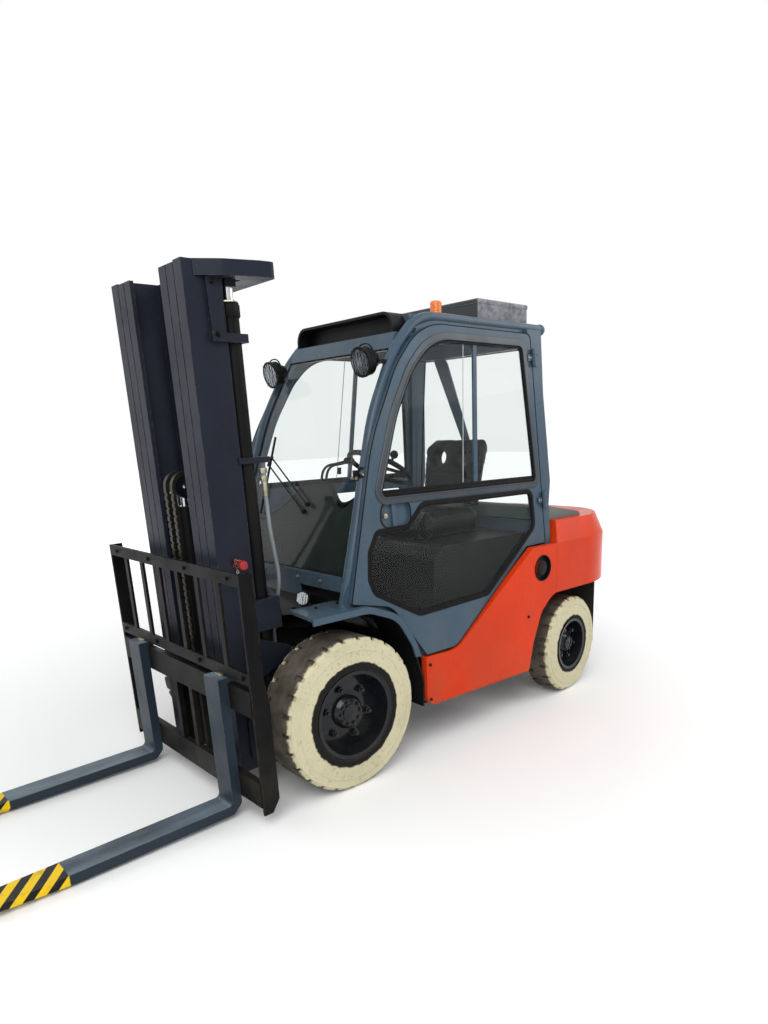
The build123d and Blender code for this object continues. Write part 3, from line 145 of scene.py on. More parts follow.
class ForkliftSizes(bpy.types.PropertyGroup):
    """Sizes of the truck's fittings"""
    wheel_nut: length_setting("Wheel nut", "Width across the flats of a wheel nut", 0.030)
    flange_bolt: length_setting("Hub bolt", "Width across the flats of a hub bolt", 0.015)
    gasket: length_setting("Gasket", "Width of the rubber round the lower windows", 0.019)
    window_frame: length_setting("Window frame", "Width of the frame round the upper windows", 0.034)
    door_seal: length_setting("Door seal", "Radius of the rubber round each door", 0.0028)
    stripe_pitch: length_setting("Stripe pitch", "Distance from one yellow stripe to the next", 0.085)
    seam_depth: length_setting("Seam depth", "Depth of the seat's sewn channels", 0.007)
    seat_swell: length_setting("Seat swell", "Furthest that the seat's stuffing pushes its cover", 0.012)
    nuts: IntProperty(name="Wheel nuts", description="Nuts on each wheel", default=6, min=3, max=12)


# Materials

def add_node(material, kind, inputs=None, **settings):
    """Adds a node to a material, sets its properties, and fills its inputs with values or links."""
    tree = material.node_tree
    node = tree.nodes.new(kind)
    for name, value in settings.items():
        setattr(node, name, value)
    for name, value in (inputs or {}).items():
        if isinstance(value, bpy.types.NodeSocket):
            tree.links.new(value, node.inputs[name])
        else:
            node.inputs[name].default_value = value
    return node


def new_material(name):
    """An empty node material and its output node."""
    material = bpy.data.materials.new(name)
    material.use_nodes = True
    material.node_tree.nodes.clear()
    return material, add_node(material, "ShaderNodeOutputMaterial")


def finished(material, out, inputs):
    """Puts the principled shader with these inputs on a material and returns the material."""
    shader = add_node(material, "ShaderNodeBsdfPrincipled", inputs)
    material.node_tree.links.new(shader.outputs[0], out.inputs[0])
    return material


def noise(material, scale, detail=4.0, roughness=0.55, stretch=(1, 1, 1)):
    """Noise over object coordinates, scale in features per metre; returns its value socket."""
    place = add_node(material, "ShaderNodeTexCoord")
    mapping = add_node(material, "ShaderNodeMapping", {"Vector": place.outputs["Object"], "Scale": stretch})
    inputs = {"Vector": mapping.outputs[0], "Scale": scale, "Detail": detail, "Roughness": roughness}
    return add_node(material, "ShaderNodeTexNoise", inputs).outputs["Fac"]


def band(material, value, low, high, out_low=0.0, out_high=1.0):
    """Maps a value's band onto another, clamped; returns the socket."""
    inputs = {0: value, 1: low, 2: high, 3: out_low, 4: out_high}
    return add_node(material, "ShaderNodeMapRange", inputs).outputs[0]


def maths(material, operation, a, b=0.0):
    """A value worked out from one or two others."""
    return add_node(material, "ShaderNodeMath", {0: a, 1: b}, operation=operation).outputs[0]


def times(material, a, b):
    """The product of two values."""
    return maths(material, "MULTIPLY", a, b)


def mixed(material, factor, a, b):
    """One colour turned into another by a factor; a and b are hex colours, colours or sockets."""
    a = linear(a) if isinstance(a, str) else a
    b = linear(b) if isinstance(b, str) else b
    return add_node(material, "ShaderNodeMix", {0: factor, 6: a, 7: b}, data_type="RGBA").outputs[2]


def shaded(colour, share):
    """A colour made darker or paler by a share."""
    return tuple(min(1.0, c * share) for c in colour[:3]) + (1.0,)


def axes(material):
    """The three object coordinates, in metres, as sockets."""
    place = add_node(material, "ShaderNodeTexCoord")
    return add_node(material, "ShaderNodeSeparateXYZ", {0: place.outputs["Object"]}).outputs


def facing(material):
    """The three parts of the surface's normal, as sockets."""
    geometry = add_node(material, "ShaderNodeNewGeometry")
    return add_node(material, "ShaderNodeSeparateXYZ", {0: geometry.outputs["Normal"]}).outputs


def edges(material, radius):
    """Near 1 where the surface turns within a radius in metres, 0 on flats."""
    bevel = add_node(material, "ShaderNodeBevel", {"Radius": radius}, samples=4)
    geometry = add_node(material, "ShaderNodeNewGeometry")
    dot = add_node(material, "ShaderNodeVectorMath", {0: bevel.outputs[0], 1: geometry.outputs["Normal"]},
                   operation="DOT_PRODUCT").outputs["Value"]
    return band(material, dot, 0.98, 0.80)


def bumped(material, value, distance, strength=0.6):
    """A normal from a height value; distance in metres."""
    return add_node(material, "ShaderNodeBump", {"Height": value, "Distance": distance,
                                                 "Strength": strength}).outputs[0]


def paint(name, colour, faded, chip, dust, chips=0.5, dusting=0.35, roughness=0.38, orange_peel=0.0004,
          chip_radius=0.006, coat=0.0, shine=0.5):
    """Paint on steel: faded patches, chips along the edges down to a second colour, dust low down."""
    m, out = new_material(name)
    patches = band(m, noise(m, 2.2, 6), 0.35, 0.68)
    streaks = band(m, noise(m, 9.0, 5, stretch=(1, 1, 0.2)), 0.45, 0.75)
    base = mixed(m, patches, colour, faded)
    base = mixed(m, times(m, streaks, 0.14), base, dust)
    worn = times(m, edges(m, chip_radius), band(m, noise(m, 38, 5), 0.50, 0.60))
    specks = band(m, noise(m, 75, 3), 0.73, 0.76)
    worn = maths(m, "MAXIMUM", times(m, worn, chips), times(m, specks, chips))
    base = mixed(m, worn, base, chip)
    low = times(m, band(m, axes(m)[2], 0.75, 0.05), band(m, noise(m, 6, 6), 0.35, 0.75))
    base = mixed(m, times(m, low, dusting), base, dust)
    rough = band(m, noise(m, 5, 6), 0.3, 0.8, roughness - 0.06, roughness + 0.16)
    return finished(m, out, {"Base Color": base, "Roughness": rough, "Coat Weight": coat,
                             "Coat Roughness": 0.12, "Specular IOR Level": shine,
                             "Normal": bumped(m, noise(m, 420, 2), orange_peel)})


def orange_enamel(colour):
    """Sprayed two-pack enamel on pressed steel and cast iron: glossy, faded in patches, scuffed at edges."""
    return paint("orange_enamel", colour, shaded(colour, 0.82), "#3c1a12", "#8d5a44", chips=0.5, dusting=0.3,
                 roughness=0.24, coat=0.03, shine=0.1)


def slate_enamel(colour):
    """Blue-grey enamel on the cab's folded steel: a soft shine, rubbed darker along the folds."""
    return paint("slate_enamel", colour, shaded(colour, 1.22), "#1d2226", "#77746a", chips=0.45, dusting=0.25,
                 roughness=0.26, coat=0.06, shine=0.16)


def mast_paint(colour):
    """Blue-black satin paint on hot-rolled channel: rollers rub the flanges to an oily brown."""
    return paint("mast_paint", colour, shaded(colour, 1.5), "#4a4534", "#332f27", chips=0.75, dusting=0.3,
                 roughness=0.36, orange_peel=0.0008, chip_radius=0.008, shine=0.12)


def frame_paint():
    """Black chassis paint on welded plate: satin, with road dust and a little rust at the corners."""
    return paint("frame_paint", "#08090a", "#131314", "#4a382b", "#3f3a32", chips=0.6, dusting=0.45,
                 roughness=0.42, orange_peel=0.001, chip_radius=0.008, shine=0.08)


def cast_paint():
    """Dark grey paint on sand-cast iron: a coarse skin, dusty near the floor."""
    return paint("cast_paint", "#2b2e29", "#363932", "#57493a", "#5f5a4e", chips=0.5, dusting=0.5,
                 roughness=0.5, orange_peel=0.003, shine=0.2)


def cover_paint():
    """Grey paint on the pressed radiator cover: satin and slightly chalky."""
    return paint("cover_paint", "#59605c", "#6b716c", "#35383a", "#807d70", chips=0.4, dusting=0.3,
                 roughness=0.48, shine=0.25)


def box_paint():
    """Zinc-grey paint on folded sheet that stood outdoors: mottled with pale bloom, with painted shade on the
    faces turned forward.
    """
    m, out = new_material("box_paint")
    mottle = band(m, noise(m, 26, 8, 0.7), 0.38, 0.66)
    base = mixed(m, mottle, "#4c4e54", "#8b8c92")
    # Painted shade: faces turned forward are darkened to a near black.
    base = mixed(m, band(m, facing(m)[0], 0.5, 0.8), base, "#1b2226")
    base = mixed(m, times(m, edges(m, 0.006), 0.6), base, "#c3c0b8")
    return finished(m, out, {"Base Color": base, "Roughness": 0.55,
                             "Normal": bumped(m, noise(m, 90, 4), 0.001)})


def wheel_paint():
    """Blue-black gloss paint over pressed steel wheels: glossy, with dust in the dish."""
    return paint("wheel_paint", "#080c12", "#10151b", "#5a4d3e", "#39362f", chips=0.45, dusting=0.3,
                 roughness=0.2, chip_radius=0.004, coat=0.4, shine=0.1)


def fork_paint(colour, stripe, pitch):
    """Slate paint on forged forks with striped tips: paler in streaks on the upward faces of the blades."""
    m, out = new_material("fork_paint")
    place = axes(m)
    strokes = band(m, noise(m, 7, 6, stretch=(0.3, 1, 1)), 0.3, 0.65)
    # The blades' upward faces are made paler in streaks, by their facing alone.
    paler_on_top = times(m, band(m, facing(m)[2], 0.6, 0.95), strokes)
    base = mixed(m, band(m, noise(m, 3, 5), 0.35, 0.7), colour, shaded(colour, 1.25))
    base = mixed(m, times(m, paler_on_top, 0.75), base, "#75848f")
    slanted = maths(m, "SUBTRACT", times(m, place[1], 0.75), place[0])
    slanted = maths(m, "SUBTRACT", slanted, place[2])
    phase = maths(m, "FLOORED_MODULO", slanted, pitch)
    striped = mixed(m, band(m, phase, pitch * 0.50, pitch * 0.52), stripe, "#101010")
    striped = mixed(m, times(m, band(m, noise(m, 22, 6), 0.55, 0.7), 0.35), striped, "#4a4636")
    tip = band(m, place[0], AXLE_X + STRIPE_START, AXLE_X + STRIPE_START + 0.003)
    base = mixed(m, tip, base, striped)
    worn = times(m, edges(m, 0.005), band(m, noise(m, 30, 5), 0.5, 0.62))
    base = mixed(m, times(m, worn, 0.6), base, "#6a655c")
    return finished(m, out, {"Base Color": base, "Roughness": band(m, noise(m, 9, 5), 0.3, 0.8, 0.32, 0.52),
                             "Specular IOR Level": 0.2, "Normal": bumped(m, noise(m, 160, 4), 0.0009)})


def tyre_rubber(name, centre, turn, half_w, wall_in, wall_out, wall):
    """Carbon-filled rubber with cream wall paint on the outside: matt, scuffed through at the shoulder."""
    m, out = new_material(name)
    place = add_node(m, "ShaderNodeTexCoord")
    moved = add_node(m, "ShaderNodeVectorMath", {0: place.outputs["Object"], 1: centre}, operation="SUBTRACT")
    local = add_node(m, "ShaderNodeMapping", {"Vector": moved.outputs[0], "Rotation": (0, 0, -turn)})
    parts = add_node(m, "ShaderNodeSeparateXYZ", {0: local.outputs[0]})
    flat = add_node(m, "ShaderNodeCombineXYZ", {0: parts.outputs[0], 2: parts.outputs[2]})
    radius = add_node(m, "ShaderNodeVectorMath", {0: flat.outputs[0]}, operation="LENGTH").outputs["Value"]
    side = maths(m, "ABSOLUTE", parts.outputs[1])
    ragged = band(m, noise(m, 34, 6), 0.2, 0.8, -0.007, 0.007)
    reach = maths(m, "ADD", radius, ragged)
    painted = times(m, band(m, reach, wall_in - 0.003, wall_in + 0.003),
                    band(m, reach, wall_out + 0.006, wall_out))
    painted = times(m, painted, band(m, side, half_w - 0.030, half_w - 0.024))
    rubber = mixed(m, band(m, noise(m, 14, 6), 0.35, 0.7), "#45413a", "#655e54")
    rubber = mixed(m, band(m, side, half_w - 0.02, half_w), rubber, "#161615")
    cream = mixed(m, band(m, noise(m, 5, 6), 0.5, 0.8), wall, shaded(wall, 0.80))
    grime = times(m, band(m, noise(m, 60, 6), 0.58, 0.72), 0.45)
    cream = mixed(m, grime, cream, "#6d6550")
    base = mixed(m, painted, rubber, cream)
    return finished(m, out, {"Base Color": base, "Roughness": band(m, painted, 0, 1, 0.85, 0.5),
                             "Specular IOR Level": 0.15, "Normal": bumped(m, noise(m, 130, 5), 0.0012)})


def window_glass():
    """Tempered glass: clear, with sharp reflections; lamps reach through it."""
    m, out = new_material("window_glass")
    glass = add_node(m, "ShaderNodeBsdfPrincipled", {"Base Color": linear("#f4f7f6"), "Roughness": 0.0,
                                                     "IOR": 1.18, "Transmission Weight": 1.0})
    film = add_node(m, "ShaderNodeBsdfTransparent", {0: linear("#eef3f1")})
    rays = add_node(m, "ShaderNodeLightPath")
    both = add_node(m, "ShaderNodeMixShader", {0: rays.outputs["Is Shadow Ray"], 1: glass.outputs[0],
                                               2: film.outputs[0]})
    m.node_tree.links.new(both.outputs[0], out.inputs[0])
    return m


def plain(name, colour, second, roughness, metallic=0.0, scale=20.0, grain=300.0, depth=0.0004,
          stretch=(1, 1, 1), shine=0.5):
    """A surface of two close colours in a noise, with a fine grain in its normal."""
    m, out = new_material(name)
    base = mixed(m, band(m, noise(m, scale, 5, stretch=stretch), 0.35, 0.7), colour, second)
    rough = band(m, noise(m, scale * 0.7, 4), 0.3, 0.8, roughness - 0.05, roughness + 0.1)
    return finished(m, out, {"Base Color": base, "Metallic": metallic, "Roughness": rough,
                             "Specular IOR Level": shine,
                             "Normal": bumped(m, noise(m, grain, 3), depth, 0.15)})


def hard_chrome():
    """Ground and hard-chromed ram rod: a mirror with fine marks along the stroke."""
    return plain("hard_chrome", "#c9cbcd", "#b4b6b8", 0.14, metallic=1.0, scale=8, depth=0.0001,
                 stretch=(1, 1, 0.1))


def chain_steel():
    """Oiled leaf-chain steel: dark grey-brown, with a dull metal shine."""
    return plain("chain_steel", "#3a362f", "#23201c", 0.42, metallic=0.8, scale=90)


def zinc_plate():
    """Zinc-plated bolts and hose ends: pale, a little yellow, with grey bloom."""
    return plain("zinc_plate", "#b3ab93", "#7f7b70", 0.38, metallic=0.85, scale=60)


def grained_plastic():
    """Moulded black ABS with a leather grain: matt, greyer where hands rub it."""
    return plain("grained_plastic", "#0d0e0f", "#161718", 0.45, scale=6, grain=150, depth=0.0001, shine=0.12)


def seal_rubber():
    """Extruded EPDM window and door rubber: black and matt, greyed by dust."""
    return plain("seal_rubber", "#0a0a0b", "#161514", 0.55, scale=30, depth=0.0001, shine=0.12)


def dash_plastic():
    """Injection-moulded dashboard in dark grey: dusty, with a fine grain."""
    return plain("dash_plastic", "#1a2120", "#272b27", 0.5, scale=5, grain=140, depth=0.00005, shine=0.12)


def hose_cover():
    """Grey textile-reinforced hose cover: satin, darker where oil has run."""
    return plain("hose_cover", "#7f868a", "#666c70", 0.45, scale=14, stretch=(1, 1, 0.3))


def seat_vinyl():
    """Black PVC-coated cloth over foam: soft folds and a low sheen."""
    return plain("seat_vinyl", "#111214", "#1b1c1e", 0.42, scale=5, grain=200, depth=0.0001, shine=0.2)


def engine_paint():
    """Grey paint on a cast block, under a film of oil."""
    return plain("engine_paint", "#3c3f40", "#2b2a28", 0.5, scale=12, grain=120, depth=0.001)


def beacon_plastic():
    """Orange polycarbonate lens: glossy, slightly translucent, ribbed inside."""
    m, out = new_material("beacon_plastic")
    base = mixed(m, band(m, axes(m)[2], 2.14, 2.15), "#1a1a1b", "#e8791a")
    ribs = maths(m, "PINGPONG", axes(m)[2], 0.004)
    return finished(m, out, {"Base Color": base, "Roughness": 0.18, "IOR": 1.58, "Subsurface Weight": 0.15,
                             "Normal": bumped(m, ribs, 0.4)})


def lamp_mirror():
    """Aluminised lamp reflector behind its lens: a bright metal with soft flutes."""
    m, out = new_material("lamp_mirror")
    flutes = maths(m, "PINGPONG", axes(m)[1], 0.004)
    return finished(m, out, {"Base Color": linear("#b9bcc2"), "Metallic": 1.0, "Roughness": 0.2,
                             "Normal": bumped(m, flutes, 0.6)})


def red_plastic():
    """Red PVC dust caps: semi-gloss, scratched and dirty."""
    return plain("red_plastic", "#a5161c", "#7d1216", 0.4, scale=50)


# Modelling

def at(x, y, z):
    """A place given from the middle of the front axle, in metres."""
    return Vector((AXLE_X + x, y, z))


def toward(direction, centre):
    """The matrix that turns +Z to a direction and moves the origin to a centre."""
    return Matrix.Translation(centre) @ Vector(direction).to_track_quat("Z", "Y").to_matrix().to_4x4()


def rounded(bm, chosen, width, segments=2):
    """Bevels chosen edges."""
    bmesh.ops.bevel(bm, geom=list(chosen), offset=width, offset_type="OFFSET", affect="EDGES",
                    segments=segments, profile=0.5, material=-1, clamp_overlap=True)


def add_box(bm, low, high, width=0.002, turn=None):
    """A box between two corners with rounded edges, turned by a matrix where one is given."""
    low, high = Vector(low), Vector(high)
    place = (turn or Matrix()) @ Matrix.Translation((low + high) / 2) @ Matrix.Diagonal((*(high - low), 1))
    verts = bmesh.ops.create_cube(bm, size=1, matrix=place)["verts"]
    rounded(bm, dict.fromkeys(edge for vert in verts for edge in vert.link_edges), width)


def add_rod(bm, start, end, radius, end_radius=None, sides=20, width=0.0, turn=None):
    """A round or many-sided bar between two places, its rims rounded, turned where a matrix is given."""
    turn = turn or Matrix()
    start, end = turn @ Vector(start), turn @ Vector(end)
    verts = bmesh.ops.create_cone(bm, cap_ends=True, segments=sides, radius1=radius,
                                  radius2=radius if end_radius is None else end_radius,
                                  depth=(end - start).length,
                                  matrix=toward(end - start, (start + end) / 2))["verts"]
    if width:
        rims = dict.fromkeys(edge for vert in verts for edge in vert.link_edges
                             if any(len(face.verts) == sides for face in edge.link_faces))
        rounded(bm, rims, width)


def add_stub(bm, place, axis, low, high, radius, end_radius=None, sides=20, width=0.0):
    """A bar along an axis, between two distances from a place."""
    add_rod(bm, place + axis * low, place + axis * high, radius, end_radius, sides, width)


def add_bolt(bm, place, axis, across):
    """A hexagon head on a washer, seated at a place and facing along an axis."""
    axis, place = Vector(axis).normalized(), Vector(place)
    washer = across * 0.12
    add_stub(bm, place, axis, -0.001, washer, across * 0.72, sides=16)
    add_stub(bm, place, axis, -0.001, washer + across * 0.55, across / math.sqrt(3), sides=6,
             width=across * 0.05)


def hoop(inner, outer, low, high):
    """The profile of a flat hoop, for add_spun."""
    return [(inner, low), (outer, low), (outer, high), (inner, high)]


def add_spun(bm, centre, axis, profile, steps=48):
    """Spins a closed profile of (radius, height) full round an axis through a centre."""
    place = toward(axis, Vector(centre))
    verts = [bm.verts.new(place @ Vector((radius, 0, height))) for radius, height in profile]
    lines = [bm.edges.new(pair) for pair in zip(verts, verts[1:] + verts[:1])]
    bmesh.ops.spin(bm, geom=verts + lines, cent=centre, axis=axis, angle=math.tau, steps=steps,
                   use_merge=True)


def add_wire(bm, places, radius, closed=False, straight=False):
    """A round wire along places, smooth unless it is straight."""
    curve = bpy.data.curves.new("wire", "CURVE")
    curve.dimensions = "3D"
    curve.bevel_depth = radius
    curve.bevel_resolution = 2
    curve.resolution_u = 6
    curve.use_fill_caps = True
    spline = curve.splines.new("POLY" if straight else "NURBS")
    spline.points.add(len(places) - 1)
    for point, place in zip(spline.points, places):
        point.co = (*place, 1)
    spline.use_cyclic_u = closed
    if not straight:
        spline.order_u = 3
        spline.use_endpoint_u = not closed
    holder = bpy.data.objects.new("wire", curve)
    mesh = bpy.data.meshes.new_from_object(holder)
    bm.from_mesh(mesh)
    bpy.data.objects.remove(holder)
    bpy.data.curves.remove(curve)
    bpy.data.meshes.remove(mesh)


def widened(loop, normal, width):
    """A loop moved outwards in its plane by a width, or inwards where that is negative."""
    pairs = list(zip(loop, loop[1:] + loop[:1]))
    way = 1 if sum((a.cross(b) for a, b in pairs), Vector()).dot(normal) > 0 else -1
    out = [(b - a).normalized().cross(normal) * way for a, b in pairs]
    return [place + (before + after) * width / (1 + before.dot(after))
            for place, before, after in zip(loop, out[-1:] + out[:-1], out)]


def add_ring(bm, loop, normal, width, low, high):
    """A flat frame round a window's loop, outwards or, where its width is negative, inwards of it."""
    edge = min(0.0015, (high - low) * 0.4)
    step = math.copysign(edge, width)
    profile = ((0, low), (0, high - edge), (step, high), (width - step, high), (width, high - edge),
               (width, low))
    rows = [[bm.verts.new(place + normal * height) for place in widened(loop, normal, out)]
            for out, height in profile]
    for row, other in zip(rows, rows[1:] + rows[:1]):
        for i in range(len(loop)):
            bm.faces.new((row[i - 1], row[i], other[i], other[i - 1]))


def leaned_mast(bm):
    """Turns a mast piece drawn upright by the mast's lean at rest."""
    turn = Matrix.Translation(PIVOT) @ Matrix.Rotation(MAST_LEAN, 4, "Y") @ Matrix.Translation(-PIVOT)
    bmesh.ops.transform(bm, matrix=turn, verts=bm.verts)


def linked(name, data):
    """A new object of a mesh, in the scene."""
    made = bpy.data.objects.new(name, data)
    bpy.context.scene.collection.objects.link(made)
    return made


def mesh_of(name, bm):
    """A new mesh of a bmesh, which is then freed."""
    mesh = bpy.data.meshes.new(name)
    bm.to_mesh(mesh)
    bm.free()
    return mesh


def evaluated(thing):
    """A new mesh of an object with its modifiers applied."""
    return bpy.data.meshes.new_from_object(thing.evaluated_get(bpy.context.evaluated_depsgraph_get()))


def piece(name, bm, material, body, sharp=35):
    """Makes the finished object of a bmesh, with its faces outwards, and fastens it to its body."""
    bmesh.ops.remove_doubles(bm, verts=bm.verts, dist=0.00002)
    bmesh.ops.recalc_face_normals(bm, faces=bm.faces)
    mesh = mesh_of(name, bm)
    mesh.polygons.foreach_set("use_smooth", [True] * len(mesh.polygons))
    mesh.set_sharp_from_angle(angle=math.radians(sharp))
    mesh.materials.clear()
    mesh.materials.append(material)
    made = linked(name, mesh)
    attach(made, body)


def node_faces(node, keep):
    """A bmesh of the faces of a CAD node that a test keeps."""
    bm = bmesh.new()
    bm.from_mesh(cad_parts[node].data)
    bmesh.ops.remove_doubles(bm, verts=bm.verts, dist=0.00001)
    bmesh.ops.recalc_face_normals(bm, faces=bm.faces)
    bmesh.ops.delete(bm, geom=[face for face in bm.faces if not keep(face)], context="FACES")
    return bm


def loops_of(bm):
    """The closed loops round the faces of a bmesh, each a list of places."""
    loose = [edge for edge in bm.edges if len(edge.link_faces) == 1]
    loops = []
    while loose:
        edge = loose.pop(0)
        start, vert = edge.verts
        loop = [start.co.copy()]
        while vert != start:
            loop.append(vert.co.copy())
            edge = next(e for e in vert.link_edges if e in loose)
            loose.remove(edge)
            vert = edge.other_vert(vert)
        loops.append(loop)
    bm.free()
    return loops


def length_of(loop):
    """Length round a loop."""
    return sum((b - a).length for a, b in zip(loop, loop[1:] + loop[:1]))


def middle_of(loop):
    """Mean place of a loop."""
    return sum(loop, Vector()) / len(loop)


def door_normal(side):
    """Outward direction of a door's face."""
    return Vector((0, side * math.cos(CAB_LEAN), math.sin(CAB_LEAN)))


def door_loops(name, side):
    """Loops round the outer face of a door leaf: its outline first, then its cuts from long to short."""
    normal = door_normal(side)
    areas = {}
    probe = node_faces(f"door_{name}", lambda face: face.normal.dot(normal) > 0.999)
    for face in probe.faces:
        depth = round(face.verts[0].co.dot(normal), 4)
        areas[depth] = areas.get(depth, 0.0) + face.calc_area()
    probe.free()
    plane = max(areas, key=areas.get)
    outer = node_faces(f"door_{name}", lambda face: face.normal.dot(normal) > 0.999
                       and abs(face.verts[0].co.dot(normal) - plane) < 0.0003)
    return sorted(loops_of(outer), key=length_of, reverse=True)


def leaned(side):
    """The matrix that leans a place drawn in a door's upright plane inwards with the cab's side."""
    foot = Vector((0, side * LEAN_FOOT.y, LEAN_FOOT.z))
    return Matrix.Translation(foot) @ Matrix.Rotation(side * CAB_LEAN, 4, "X") @ Matrix.Translation(-foot)


def spot(place, angle, axis="Y"):
    """The matrix that turns by an angle in degrees and then moves to a place."""
    return Matrix.Translation(place) @ Matrix.Rotation(math.radians(angle), 4, axis)


def glass_x(z):
    """Outer face of the windscreen's lower part at a height, from the front axle."""
    return -0.075 - 0.3314 * (z - 0.955)


def paint_node(name, material):
    """Gives one CAD node its material on every slot."""
    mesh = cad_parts[name].data
    mesh.materials.clear()
    mesh.materials.append(material)


# Operators

class FORKLIFT_OT_paint(bpy.types.Operator):
    """Gives every CAD node the material of the real piece"""
    bl_idname = "forklift.paint"
    bl_label = "Paint the truck"

    def execute(self, context):
        colours, sizes = context.scene.forklift_colours, context.scene.forklift_sizes
        fork, stripe = tuple(colours.fork), tuple(colours.stripe)
        groups = {
            orange_enamel(tuple(colours.body)): ["side_panels", "counterweight"],
            slate_enamel(tuple(colours.cab)): ["front_fenders", "cab_frame", "roof_panel", "door_left",
                                               "door_right"],
            frame_paint(): ["main_frame", "drive_axle", "steer_axle", "knuckle_left", "knuckle_right",
                            "lift_barrels", "free_lift_ram", "carriage", "load_backrest", "tilt_barrel_left",
                            "tilt_barrel_right"],
            mast_paint(tuple(colours.mast)): ["outer_mast", "middle_mast", "inner_mast"],
            wheel_paint(): ["front_rim_left", "front_rim_right", "rear_rim_left", "rear_rim_right"],
            grained_plastic(): ["front_visor", "front_cowl", "steering_wheel", "work_lamps", "engine_hood",
                                "fender_liners"],
            window_glass(): ["windscreen", "rear_window", "door_glass_left", "door_glass_right"],
            hard_chrome(): ["lift_rods", "free_lift_head", "tilt_rod_left", "tilt_rod_right"],
            fork_paint(fork, stripe, sizes.stripe_pitch): ["fork_left", "fork_right"],
            cast_paint(): ["counterweight_base"],
            cover_paint(): ["radiator_cover"],
            box_paint(): ["roof_box"],
            beacon_plastic(): ["beacon"],
            chain_steel(): ["lift_chains"],
            hose_cover(): ["mast_hoses"],
            dash_plastic(): ["dashboard"],
            seat_vinyl(): ["seat"],
            engine_paint(): ["engine_block"],
        }
        for material, names in groups.items():
            for name in names:
                paint_node(name, material)
        return {"FINISHED"}


class FORKLIFT_OT_wheels(bpy.types.Operator):
    """Paints the tyres and adds their wall beads, wheel nuts and hub bolts"""
    bl_idname = "forklift.wheels"
    bl_label = "Wheels"

    def execute(self, context):
        sizes, colours = context.scene.forklift_sizes, context.scene.forklift_colours
        steel = wheel_paint()
        for end, turn, half_w, bead_r, disc_out, bolt_r, nut_r, wall_in, wall_out in WHEELS:
            for name, side in SIDES:
                low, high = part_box(f"{end}_tyre_{name}")
                centre = (low + high) / 2
                axis = Matrix.Rotation(turn, 3, "Z") @ Vector((0, side, 0))
                rubber = tyre_rubber(f"{end}_rubber_{name}", centre, turn, half_w, wall_in, wall_out,
                                     tuple(colours.wall))
                paint_node(f"{end}_tyre_{name}", rubber)
                body = f"{end}_{name}_wheel"
                bead = bmesh.new()
                top, foot = half_w - 0.0005, half_w - 0.005
                add_spun(bead, centre, axis, [(bead_r - 0.006, foot), (bead_r - 0.002, top),
                                              (bead_r + 0.003, top), (bead_r + 0.006, foot)], 96)
                piece(f"{end}_tyre_bead_{name}", bead, rubber, body, sharp=60)
                bolts = bmesh.new()
                across = axis.cross(Vector((0, 0, 1)))
                for count, ring_r, height, size, stud in (
                        (sizes.nuts, nut_r, disc_out - 0.001, sizes.wheel_nut, 0.011),
                        (10, bolt_r, disc_out + 0.030, sizes.flange_bolt, 0.0)):
                    for i in range(count):
                        angle = math.tau * i / count + 0.3
                        place = centre + axis * height + ring_r * (
                            Vector((0, 0, 1)) * math.cos(angle) + across * math.sin(angle))
                        add_bolt(bolts, place, axis, size)
                        if stud:
                            add_stub(bolts, place, axis, 0, size * 0.7 + stud, size * 0.32, sides=12)
                piece(f"{end}_wheel_bolts_{name}", bolts, steel, body)
        return {"FINISHED"}


